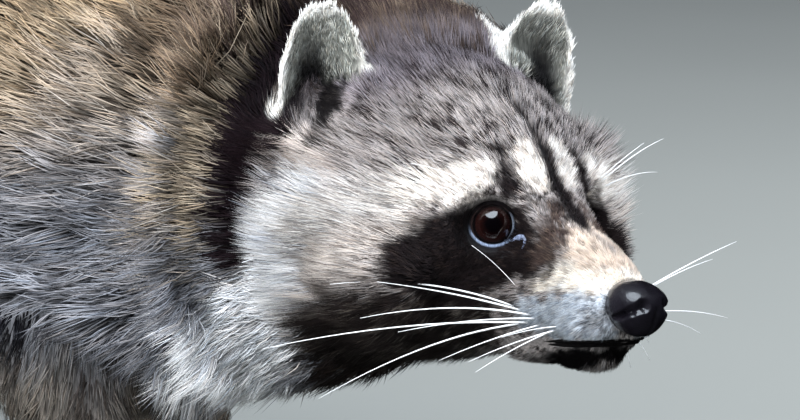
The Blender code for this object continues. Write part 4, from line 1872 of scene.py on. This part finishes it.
    def _surface(self, piece: Piece, weights: Rows, own: int) -> Surface:
        """The skin without its lids and lips, as arrays.

        Args:
            piece: the object.
            weights: share of each region at each place.
            own: how many faces are the skin's own.

        Returns:
            The bare skin.
        """
        mesh = piece.data
        points = read_vectors(mesh.vertices, "co")
        normals = read_vectors(mesh.vertices, "normal")
        triangles = read_ints(mesh.loops, "vertex_index", 1).reshape(-1, 3)[:own]
        uv = read_vectors(mesh.uv_layers[0].data, "uv", 2).reshape(-1, 3, 2)[:own]
        full = np.zeros((len(points), weights.shape[1]))
        full[: len(weights)] = weights
        return Surface(points, normals, triangles, full, uv)


@dataclass(frozen=True)
class Plot:
    """One piece of the coat: where it grows, how many tufts it has and of how many lengths each."""

    name: str
    slot: str
    tufts: int
    lengths: int
    grows: Callable


@dataclass(frozen=True)
class Roots:
    """Where a piece's tufts start."""

    points: Rows
    normals: Rows
    weights: Rows
    uv: Rows


@dataclass(frozen=True)
class Coat:
    """Fur in closed tapering tufts rooted in the skin.

    Sizes are in mm, spreads of random draws are shares of what they vary, and the bare spots
    round the eyes, the nose and the mouth are in the head's frame.
    """

    head: HeadFrame
    surface: Surface
    grooming: Grooming
    markings: Markings
    patch: float = 0.003
    seen_at: float = 0.6
    crowding: float = 0.75
    sunk: float = 0.5
    pull: float = 0.25
    long_pull: float = 0.45
    long_hair: tuple = (10, 24)
    tufts_a_lock: int = 11
    floor_gap: float = 0.2
    thickness: float = 0.55
    breadth: float = 1.15
    taper: float = 0.25
    sway: float = 0.16
    drift: float = 0.22
    lengths: tuple = (0.65, 1.25)
    rises: tuple = (0.45, 1.1)
    steepest: float = 0.8
    curl: float = 0.09
    uneven: float = 0.08
    uneven_locks: float = 0.25
    brightness: tuple = (0.4, 1.35)
    own_luck: float = 0.3
    warmth: float = 0.03
    eye_bare: float = 9.3
    eye_behind: float = -4
    nose_bare: tuple = (51, 0, -21)
    nose_half: tuple = (9.5, 10.5, 9.5)
    lip_bare: float = 1.6
    lip_start: float = 3
    sole: float = 2.0

    def grow(self, plot: Plot) -> Piece:
        """The object of one piece of coat.

        Args:
            plot: where and how much.

        Returns:
            The coat's object.
        """
        rng = np.random.default_rng(SEED + sum(map(ord, plot.name)))
        roots = self._scatter(plot, rng)
        lie = self.grooming.lie(roots.points, roots.normals, roots.weights)
        seen = roots.points + lie.flow * (lie.length * self.seen_at * MM)[:, None]
        shades = self.markings.shades(seen, roots.normals, roots.weights)
        lock = self._locks(roots.points, rng)
        points = self._tufts(roots, lie, plot.lengths, lock, rng)
        count = len(roots.points)
        stations = plot.lengths * 3 + 1
        faces = self._faces(plot.lengths)
        every = (faces[None] + np.arange(count)[:, None, None] * stations).reshape(-1, 3)
        points[..., 2] = np.maximum(points[..., 2], self.floor_gap * MM)
        piece = mesh_object(plot.name, points.reshape(-1, 3), every)
        paint(piece, self._colours(shades, plot.lengths, lock, rng).reshape(-1, 3))
        self._map(piece, roots.uv, faces, plot.lengths)
        piece.data.materials.append(bpy.data.materials.get("coat") or CoatFinish().material())
        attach(piece, "root")
        return piece

    def _scatter(self, plot: Plot, rng: np.random.Generator) -> Roots:
        """Random roots on the skin, closer where the tufts are small.

        Args:
            plot: where and how much.
            rng: the piece's random draws.

        Returns:
            The roots.
        """
        surface = self.surface
        corners = surface.points[surface.triangles]
        middle = corners.mean(axis=1)
        weights = surface.weights[surface.triangles].mean(axis=1)
        cross = np.cross(corners[:, 1] - corners[:, 0], corners[:, 2] - corners[:, 0])
        sizes = self.grooming.sizes(middle, weights)
        local = self.head.measure(middle)
        chosen = plot.grows(np.argmax(weights, axis=1), local, middle) & self._bare(middle)
        spacing = (sizes[:, 1] * sizes[:, 2]) ** self.crowding
        density = np.linalg.norm(cross, axis=1) * chosen / spacing
        picks = rng.choice(len(middle), plot.tufts, p=density / density.sum())
        share = rng.random((plot.tufts, 2))
        over = share.sum(axis=1) > 1
        share[over] = 1 - share[over]
        share = np.stack([1 - share.sum(axis=1), share[:, 0], share[:, 1]], axis=1)[..., None]
        of = surface.triangles[picks]
        return Roots(
            (corners[picks] * share).sum(axis=1),
            unit((surface.normals[of] * share).sum(axis=1)),
            (surface.weights[of] * share).sum(axis=1),
            (surface.uv[picks] * share).sum(axis=1),
        )

    def _bare(self, points: Rows) -> Rows:
        """Where hair may grow: not in the eyes, under the nose pad, on the lips or on the soles.

        Args:
            points: places on the body, in metres.

        Returns:
            True for each place that is not bare.
        """
        grows = points[:, 2] >= self.sole * MM
        for side in Side:
            centre, gaze = Eye(self.head, side).axes()[:2]
            offset = points - centre
            ahead = offset @ gaze
            beside = np.linalg.norm(offset - np.outer(ahead, gaze), axis=1)
            grows &= ~((beside < self.eye_bare * MM) & (ahead > self.eye_behind * MM))
        local = self.head.measure(points)
        from_nose = (local - np.array(self.nose_bare)) / np.array(self.nose_half)
        grows &= np.linalg.norm(from_nose, axis=1) > 1
        from_lips = np.abs(local[:, 2] - mouth_height(local[:, 0]))
        return grows & ~((from_lips < self.lip_bare) & (local[:, 0] > self.lip_start))

    def _tufts(self, roots: Roots, lie: Lie, lengths: int, lock: Rows,
               rng: np.random.Generator) -> Rows:
        """Corner points of every tuft: triples along it and then its tip.

        Args:
            roots: where the tufts start.
            lie: the coat's sizes and lie there.
            lengths: how many lengths a tuft has.
            lock: number of the tuft that leads each tuft's lock.
            rng: the piece's random draws.

        Returns:
            For each tuft a row of its points, in metres.
        """
        count = len(roots.points)
        beside = np.cross(roots.normals, lie.flow)
        sway = rng.normal(0, self.sway, count) + self.drift * waves(roots.points, 0.02, 11)
        flow = unit(lie.flow + beside * sway[:, None])
        length = lie.length * rng.uniform(*self.lengths, count)
        rise = lie.depth * lie.stand * rng.uniform(*self.rises, count)
        rise = np.minimum(rise, self.steepest * length)
        run = np.sqrt(np.maximum(length ** 2 - rise ** 2, 0.04))
        curl = rng.normal(0, self.curl, count) * length
        tips = roots.points + (flow * run[:, None] + roots.normals * rise[:, None]) * MM
        gather = tips[lock] - tips
        pull = self.pull + self.long_pull * ramp(*self.long_hair, lie.length)
        beside = np.cross(roots.normals, flow)
        rows = []
        for step in range(lengths + 1):
            along = step / lengths
            lift = rise * (1 - (1 - along) ** 2) - self.sunk * (1 - along)
            middle = roots.points + flow * (run * along * MM)[:, None]
            middle += roots.normals * (lift * MM)[:, None]
            middle += beside * (curl * along * along * MM)[:, None]
            middle += gather * (pull * along ** 1.5)[:, None]
            if step == lengths:
                rows.append(middle)
                continue
            half = lie.half_width * (1 - self.taper * along) * MM
            for corner in range(3):
                angle = 2 * math.pi * corner / 3 + math.pi / 2
                across = beside * (math.cos(angle) * half)[:, None] * self.breadth
                out = roots.normals * (math.sin(angle) * half * self.thickness)[:, None]
                rows.append(middle + across + out)
        return np.stack(rows, axis=1)

    def _locks(self, points: Rows, rng: np.random.Generator) -> Rows:
        """Number of the tuft that leads each tuft's lock.

        Args:
            points: places on the body, in metres.
            rng: the piece's random draws.

        Returns:
            One number for each tuft.
        """
        leaders = rng.choice(len(points), max(len(points) // self.tufts_a_lock, 1), replace=False)
        tree = KDTree(len(leaders))
        for leader in leaders:
            tree.insert(points[leader], int(leader))
        tree.balance()
        return np.array([tree.find(point)[1] for point in points])

    def _faces(self, lengths: int) -> Rows:
        """Triangles of one tuft, facing outward.

        Args:
            lengths: how many lengths a tuft has.

        Returns:
            Rows of corner numbers.
        """
        faces = [(2, 1, 0)]
        for step in range(lengths):
            low = step * 3
            for corner in range(3):
                after = (corner + 1) % 3
                if step == lengths - 1:
                    faces.append((low + corner, low + after, low + 3))
                else:
                    faces.append((low + corner, low + after, low + 3 + after))
                    faces.append((low + corner, low + 3 + after, low + 3 + corner))
        return np.array(faces)

    def _colours(self, shades: Rows, lengths: int, lock: Rows,
                 rng: np.random.Generator) -> Rows:
        """A colour for each corner point, from root to tip.

        Args:
            shades: the markings' row for each tuft.
            lengths: how many lengths a tuft has.
            lock: number of the tuft that leads each tuft's lock.
            rng: the piece's random draws.

        Returns:
            For each tuft a row of linear colours, one for each of its points.
        """
        count = len(shades)
        bright = 1 + self.uneven * rng.normal(size=count)
        bright = bright + self.uneven_locks * rng.normal(size=count)[lock]
        bright = np.clip(bright, *self.brightness)
        luck = self.own_luck * rng.random(count) + (1 - self.own_luck) * rng.random(count)[lock]
        other = luck < 0.1 + 0.8 * shades[:, 9]
        tip = np.where(other[:, None], shades[:, 6:9], shades[:, 3:6])
        warm = 1 + rng.normal(0, self.warmth, (count, 1)) * np.array((1.0, 0.0, -1.0))
        rows = []
        # From root to tip the tufts lighten: the dark roots are dark underfur and partly painted shade
        # between the tufts.
        for step in range(lengths + 1):
            along = (step / lengths) ** 0.8
            inner = step < lengths
            colour = mix(shades[:, :3], shades[:, 3:6] if inner else tip, np.full(count, along))
            colour = np.clip(colour * bright[:, None] * warm, 0, 0.95)
            rows += [colour] * (3 if inner else 1)
        return np.stack(rows, axis=1)

    def _map(self, piece: Piece, uv: Rows, faces: Rows, lengths: int) -> None:
        """Gives each tuft a small patch of the skin's own map, at its root.

        Args:
            piece: the object.
            uv: each root's place on the skin's map.
            faces: triangles of one tuft.
            lengths: how many lengths a tuft has.
        """
        offsets = []
        for step in range(lengths):
            for corner in range(3):
                offsets.append(((corner - 1) * 0.5, step / lengths - 0.5))
        offsets.append((0.0, 0.5))
        spots = uv[:, None] + np.array(offsets)[faces.ravel()][None] * self.patch
        layer = piece.data.uv_layers.new(name="OFBake")
        layer.data.foreach_set("uv", spots.astype(np.float32).ravel())


def plots() -> list:
    """Every piece of the coat.

    Returns:
        The plots, in the order in which they are grown.
    """
    number = {region: column for column, region in enumerate(ORDER)}
    face_back, shoulder_back, shoulder_waver, past_middle = -24.0, 0.1, 0.02, -0.01

    def head_part(front: bool, side: Side) -> Callable:
        """Test for one quarter of the head.

        Args:
            front: whether it is the face, not the crown.
            side: which side.

        Returns:
            The test.
        """
        return lambda region, local, world: (
            (region == number[Region.HEAD])
            & ((local[:, 0] > face_back) == front)
            & (local[:, 1] * side.value > 0)
        )

    def beside(world: Rows, side: Side) -> Rows:
        """True for places on one side of the body."""
        return world[:, 1] * side.value > past_middle * side.value

    def half(part: Region, side: Side) -> Callable:
        """Test for one side of a region of the body."""
        return lambda region, local, world: (region == number[part]) & beside(world, side)

    def whole(part: Region) -> Callable:
        """Test for all of a region."""
        return lambda region, local, world: region == number[part]

    def trunk_part(front: bool, side: Side) -> Callable:
        """Test for one side of the shoulders or of the rest of the trunk.

        Args:
            front: whether it is the shoulder.
            side: which side.

        Returns:
            The test.
        """
        return lambda region, local, world: (
            (region == number[Region.TRUNK])
            & ((world[:, 0] + shoulder_waver * waves(world, 0.012, 8) > shoulder_back) == front)
            & beside(world, side)
        )

    return [
        Plot("coat_face_right", "face_coat", 42000, 1, head_part(True, Side.RIGHT)),
        Plot("coat_face_left", "face_coat", 42000, 1, head_part(True, Side.LEFT)),
        Plot("coat_crown_right", "face_coat", 40000, 1, head_part(False, Side.RIGHT)),
        Plot("coat_crown_left", "face_coat", 30000, 1, head_part(False, Side.LEFT)),
        Plot("coat_ears", "ear_coat", 8500, 2, whole(Region.EARS)),
        Plot("coat_neck_right", "grizzled_coat", 13000, 2, half(Region.NECK, Side.RIGHT)),
        Plot("coat_neck_left", "grizzled_coat", 11000, 2, half(Region.NECK, Side.LEFT)),
        Plot("coat_shoulder_right", "grizzled_coat", 11000, 2, trunk_part(True, Side.RIGHT)),
        Plot("coat_shoulder_left", "grizzled_coat", 9000, 2, trunk_part(True, Side.LEFT)),
        Plot("coat_trunk_right", "grizzled_coat", 17000, 1, trunk_part(False, Side.RIGHT)),
        Plot("coat_trunk_left", "grizzled_coat", 17000, 1, trunk_part(False, Side.LEFT)),
        Plot("coat_tail", "ringed_coat", 6500, 2, whole(Region.TAIL)),
        Plot("coat_legs", "grizzled_coat", 26000, 1, whole(Region.LEGS)),
        Plot("coat_feet", "foot_coat", 12000, 1, whole(Region.FEET)),
    ]


@dataclass(frozen=True)
class Nose:
    """The bare nose pad with its nostrils and the groove between them."""

    head: HeadFrame
    centre: tuple = (49.5, 0.0, -22.0)
    half: tuple = (10.0, 10.6, 9.0)
    slope: float = 12.0
    boxiness: float = 2.5
    nostril: tuple = (
        (56.8, 4.4, -20.0, 2.5), (55.4, 7.2, -21.4, 2.2), (52.4, 9.8, -23.6, 1.4),
        (49.4, 10.8, -24.6, 0.8),
    )
    nostril_edge: tuple = (1.35, 0.4)
    nostril_full: float = 1.6
    nostril_depth: float = 4.4
    groove_depth: float = 0.9
    groove_width: float = 0.75
    groove_below: tuple = (-19, -23)
    groove_front: tuple = (48, 52)
    lip_below: tuple = (-22, -32)
    lip_narrowing: float = 0.34

    def build(self) -> Piece:
        """The nose pad's object.

        Returns:
            The pad's object.
        """
        deselect()
        bpy.ops.mesh.primitive_ico_sphere_add(subdivisions=6, radius=1.0)
        piece = bpy.context.view_layer.objects.active
        piece.name = piece.data.name = "nose"
        spots = read_vectors(piece.data.vertices, "co")
        normals = spots.copy()
        boxy = (np.abs(spots) ** self.boxiness).sum(axis=1) ** (-1 / self.boxiness)
        spots = spots * boxy[:, None] * np.array(self.half)
        lean = np.array(Matrix.Rotation(math.radians(self.slope), 3, "Y"))
        spots = spots @ lean.T + np.array(self.centre)
        normals = unit(normals / np.array(self.half)) @ lean.T
        spots -= normals * self._dents(spots)[:, None]
        spots[:, 1] *= 1 - self.lip_narrowing * ramp(*self.lip_below, spots[:, 2])
        piece.data.vertices.foreach_set("co", self.head.place(spots).astype(np.float32).ravel())
        piece.data.update()
        piece.data.shade_smooth()
        piece.data.materials.append(NoseFinish().material())
        return piece

    def _dents(self, spots: Rows) -> Rows:
        """How deep the nostrils and the groove lie at each place, in mm.

        Args:
            spots: places in the head's frame, in mm.

        Returns:
            One depth for each place.
        """
        folded = spots * np.array((1, 0, 1)) + np.abs(spots) * np.array((0, 1, 0))
        depth = np.zeros(len(spots))
        for first, second in zip(self.nostril, self.nostril[1:]):
            start, along = np.array(first[:3]), np.array(second[:3]) - np.array(first[:3])
            share = np.clip((folded - start) @ along / (along @ along), 0, 1)
            gap = np.linalg.norm(folded - start - share[:, None] * along, axis=1)
            width = first[3] + (second[3] - first[3]) * share
            dent = self.nostril_depth * ramp(*self.nostril_edge, gap / width)
            depth = np.maximum(depth, dent * np.minimum(width / self.nostril_full, 1))
        groove = self.groove_depth * np.exp(-((spots[:, 1] / self.groove_width) ** 2))
        low, front = ramp(*self.groove_below, spots[:, 2]), ramp(*self.groove_front, spots[:, 0])
        return depth + groove * low * front


@dataclass(frozen=True)
class Claws:
    """All twenty claws, rounded."""

    levels: int = 2

    def nodes(self) -> list:
        """Names of the claws' CAD nodes."""
        return sorted(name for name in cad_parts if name.startswith("claw"))

    def build(self) -> Piece:
        """The claws' object.

        Returns:
            The joined object.
        """
        piece = joined([weld(copied(node)) for node in self.nodes()], "claws")
        smooth = piece.modifiers.new("round", "SUBSURF")
        smooth.levels = smooth.render_levels = self.levels
        settle(piece)
        piece.data.shade_smooth()
        piece.data.materials.append(HornFinish().material())
        return piece


@dataclass(frozen=True)
class Whiskers:
    """Long white whiskers swept back on the right, spread on the left, and a few over the eyes.

    Each row gives the root forward, out and up, the way forward, out and up, the length, how far
    the tip droops, and the thickness as a share of the full one.
    """

    head: HeadFrame
    radius: float = 0.36
    tip_radius: float = 0.07
    curve_back: float = 0.45
    stray: float = 0.02
    steps: int = 14
    sides: int = 6
    swept: tuple = (
        (10, 19, -27, -0.56, 0.78, 0.32, 62, 16, 1.0), (13, 19, -28, -0.56, 0.79, 0.24, 50, 4, 1.0),
        (17, 18, -29, -0.56, 0.80, 0.15, 55, 13, 1.0), (15, 18, -32, -0.62, 0.76, -0.04, 86, 13, 1.0),
        (11, 18, -33, -0.60, 0.75, -0.18, 62, 20, 1.0), (20, 17, -32, -0.50, 0.81, -0.28, 34, 4, 0.8),
        (28, 15, -32, -0.35, 0.88, -0.22, 30, 4, 0.8), (24, 16, -34, -0.40, 0.80, -0.42, 26, 4, 0.7),
        (19, 18, -30, -0.46, 0.87, 0.04, 46, 6, 0.8), (31, 15, -30, -0.30, 0.92, -0.05, 20, 3, 0.6),
        (10, 18, -20, -0.40, 0.50, 0.72, 22, 3, 0.3),
    )
    spread: tuple = (
        (30, 13, -23, 0.15, 0.80, 0.44, 50, 5, 1.0), (27, 14, -25, 0.05, 0.86, 0.38, 47, 7, 0.9),
        (36, 12, -28, 0.16, 0.92, 0.06, 38, 6, 0.8), (33, 13, -30, 0.05, 0.94, 0.0, 34, 8, 0.7),
        (20, 17, -29, -0.40, 0.88, 0.10, 60, 14, 1.0), (17, 18, -31, -0.45, 0.87, -0.05, 66, 16, 1.0),
        (14, 18, -33, -0.48, 0.84, -0.16, 58, 16, 1.0), (24, 16, -33, -0.36, 0.88, -0.24, 40, 8, 0.8),
    )
    left_brow: tuple = (
        (-3, 30, 11, 0.05, 0.80, 0.56, 40, 8, 0.8), (-6, 33, 9, 0.0, 0.88, 0.40, 34, 8, 0.7),
        (-1, 27, 12, 0.16, 0.70, 0.66, 26, 3, 0.6),
    )
    right_brow: tuple = (
        (-3, 30, 12, -0.45, 0.60, 0.50, 24, 6, 0.45), (-7, 33, 10, -0.60, 0.60, 0.35, 22, 6, 0.45),
    )

    def build(self, tree: BVHTree) -> Piece:
        """The whiskers, rooted on the skin.

        Args:
            tree: the skin's surface in the world.

        Returns:
            The joined object.
        """
        rng = np.random.default_rng(SEED)
        paths, radii = [], []
        along = np.linspace(0, 1, self.steps)
        for side, rows in (
            (Side.RIGHT, self.swept + self.right_brow),
            (Side.LEFT, self.spread + self.left_brow),
        ):
            flip = np.array((1, side.value, 1))
            for x, y, z, *way, length, droop, share in rows:
                near = self.head.place((np.array((x, y, z)) * flip)[None])[0]
                root = np.array(tree.find_nearest(Vector(near))[0])
                way = unit(np.array(way) * flip + rng.normal(0, self.stray, 3))
                path = np.outer(along * length, way)
                path[:, 2] -= droop * along ** 2
                path[:, 0] -= self.curve_back * droop * along ** 2
                paths.append(root + self.head.turn(path) * MM)
                thick = self.radius * share
                radii.append((thick + (self.tip_radius - thick) * along ** 1.5) * MM)
        piece = mesh_object("whiskers", *tubes(paths, radii, self.sides))
        piece.data.materials.append(WhiskerFinish().material())
        return piece


@dataclass(frozen=True)
class Lamp:
    """A soft round light: place right, up and toward the camera from the face, size and power."""

    name: str
    right: float
    up: float
    near: float
    size: float
    power: float
    colour: tuple
    mirrored: bool = False


@dataclass(frozen=True)
class Studio:
    """Pale floor and backdrop, soft lights, and the camera."""

    head: HeadFrame
    azimuth: float = 22.0
    elevation: float = 11.0
    distance: float = 1.4
    scale: float = 2.9
    shift_right: float = 142.0
    shift_up: float = 12.0
    sensor: float = 36.0
    wide: float = 0.8
    glow: tuple = (0.82, 0.88, 1.0, 1.0)
    glow_power: float = 0.42
    floor_radius: float = 16.0
    cove: tuple = ((0.8, 1.05), (7.0, 1.06))
    lamps: tuple = (
        Lamp("key", -0.9, 0.95, 0.95, 1.1, 34.0, (1.0, 0.985, 0.96)),
        Lamp("sky", -0.1, 1.6, 0.85, 1.9, 42.0, (0.8, 0.89, 1.0), True),
        Lamp("far_side", 1.2, 0.9, -0.5, 0.9, 28.0, (0.95, 0.97, 1.0)),
        Lamp("front", 0.5, 0.2, 1.5, 1.2, 9.0, (1.0, 1.0, 1.0)),
        Lamp("low", -1.1, 0.02, 1.1, 1.2, 30.0, (0.94, 0.97, 1.0)),
    )

    def axes(self) -> tuple:
        """The camera's own directions.

        Returns:
            Back toward the camera, right and up.
        """
        turn, lift = math.radians(self.azimuth), math.radians(self.elevation)
        level = math.cos(lift)
        back = Vector((math.sin(turn) * level, -math.cos(turn) * level, math.sin(lift)))
        right = Vector((math.cos(turn), math.sin(turn), 0))
        return back, right, back.cross(right)

    def place_camera(self) -> None:
        """Puts the camera at the given angle, aimed beside the eyes."""
        back, right, up = self.axes()
        data = bpy.data.cameras.new("camera")
        data.sensor_width = self.sensor
        data.lens = self.scale * self.distance * data.sensor_width / self.wide
        eyes = self.head.matrix.translation
        target = eyes + (up * self.shift_up - right * self.shift_right) * (MM / self.scale)
        camera = bpy.data.objects.new("camera", data)
        turn = Matrix((right, up, back)).transposed().to_4x4()
        camera.matrix_world = Matrix.Translation(target + back * self.distance) @ turn
        bpy.context.scene.collection.objects.link(camera)
        bpy.context.scene.camera = camera

    def light(self) -> None:
        """Hangs the lamps and gives the room a soft glow."""
        back, right, up = self.axes()
        middle = self.head.matrix.translation
        for lamp in self.lamps:
            data = bpy.data.lights.new(lamp.name, "AREA")
            data.shape = "DISK"
            data.size = lamp.size
            data.energy = lamp.power
            data.color = lamp.colour
            place = middle + right * lamp.right + up * lamp.up + back * lamp.near
            light = bpy.data.objects.new(lamp.name, data)
            aim = (middle - place).to_track_quat("-Z", "Y").to_matrix().to_4x4()
            light.matrix_world = Matrix.Translation(place) @ aim
            light.visible_glossy = lamp.mirrored
            bpy.context.scene.collection.objects.link(light)
        world = bpy.data.worlds.new("room")
        world.use_nodes = True
        sky = world.node_tree.nodes["Background"]
        sky.inputs["Color"].default_value = self.glow
        sky.inputs["Strength"].default_value = self.glow_power
        world.cycles_visibility.glossy = False
        bpy.context.scene.world = world
        bpy.context.scene.view_settings.view_transform = "Standard"

    def build_stage(self) -> Piece:
        """A floor that curves up into a backdrop.

        Returns:
            The stage's object.
        """
        deselect()
        bpy.ops.mesh.primitive_circle_add(vertices=128, radius=self.floor_radius, fill_type="NGON")
        piece = bpy.context.view_layer.objects.active
        piece.name = piece.data.name = "stage"
        bpy.ops.object.mode_set(mode="EDIT")
        bpy.ops.mesh.select_all(action="SELECT")
        bpy.ops.mesh.select_mode(type="EDGE")
        bpy.ops.mesh.region_to_loop()
        for rise, spread in self.cove:
            bpy.ops.mesh.extrude_region_move(TRANSFORM_OT_translate={"value": (0, 0, rise)})
            bpy.ops.transform.resize(value=(spread, spread, 1))
        bpy.ops.mesh.select_all(action="SELECT")
        bpy.ops.mesh.normals_make_consistent(inside=True)
        bpy.ops.object.mode_set(mode="OBJECT")
        piece.data.shade_smooth()
        piece.data.materials.append(StageFinish().material())
        piece.visible_glossy = False
        return piece


def report(piece: Piece) -> None:
    """Logs a piece's name and size."""
    log.info("%s: %d faces", piece.name, len(piece.data.polygons))


def main() -> None:
    """Builds the animal, its studio and the view."""
    logging.basicConfig(level=logging.INFO, format="%(asctime)s %(name)s %(message)s")
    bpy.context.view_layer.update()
    head = HeadFrame.measured()
    markings = Markings(head)
    grooming = Grooming(head)
    skin, surface = Skin(head, markings, grooming).build()
    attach(skin, "root")
    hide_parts(*FLESH)
    report(skin)
    coat = Coat(head, surface, grooming, markings)
    for plot in plots():
        report(coat.grow(plot))
    tree = BVHTree.FromPolygons(surface.points.tolist(), surface.triangles.tolist())
    for side in Side:
        ball = Eye(head, side).build_ball()
        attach(ball, "root")
        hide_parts(f"eye_{side.label}")
        report(ball)
    nose = Nose(head).build()
    claws = Claws().build()
    whiskers = Whiskers(head).build(tree)
    for piece, nodes, slot in (
        (nose, ["nose_pad"], "nose_leather"),
        (claws, Claws().nodes(), "claw_horn"),
        (whiskers, [], "face_coat"),
    ):
        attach(piece, "root")
        if nodes:
            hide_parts(*nodes)
        report(piece)
    studio = Studio(head)
    report(studio.build_stage())
    studio.light()
    studio.place_camera()


if __name__ == "__main__":
    main()
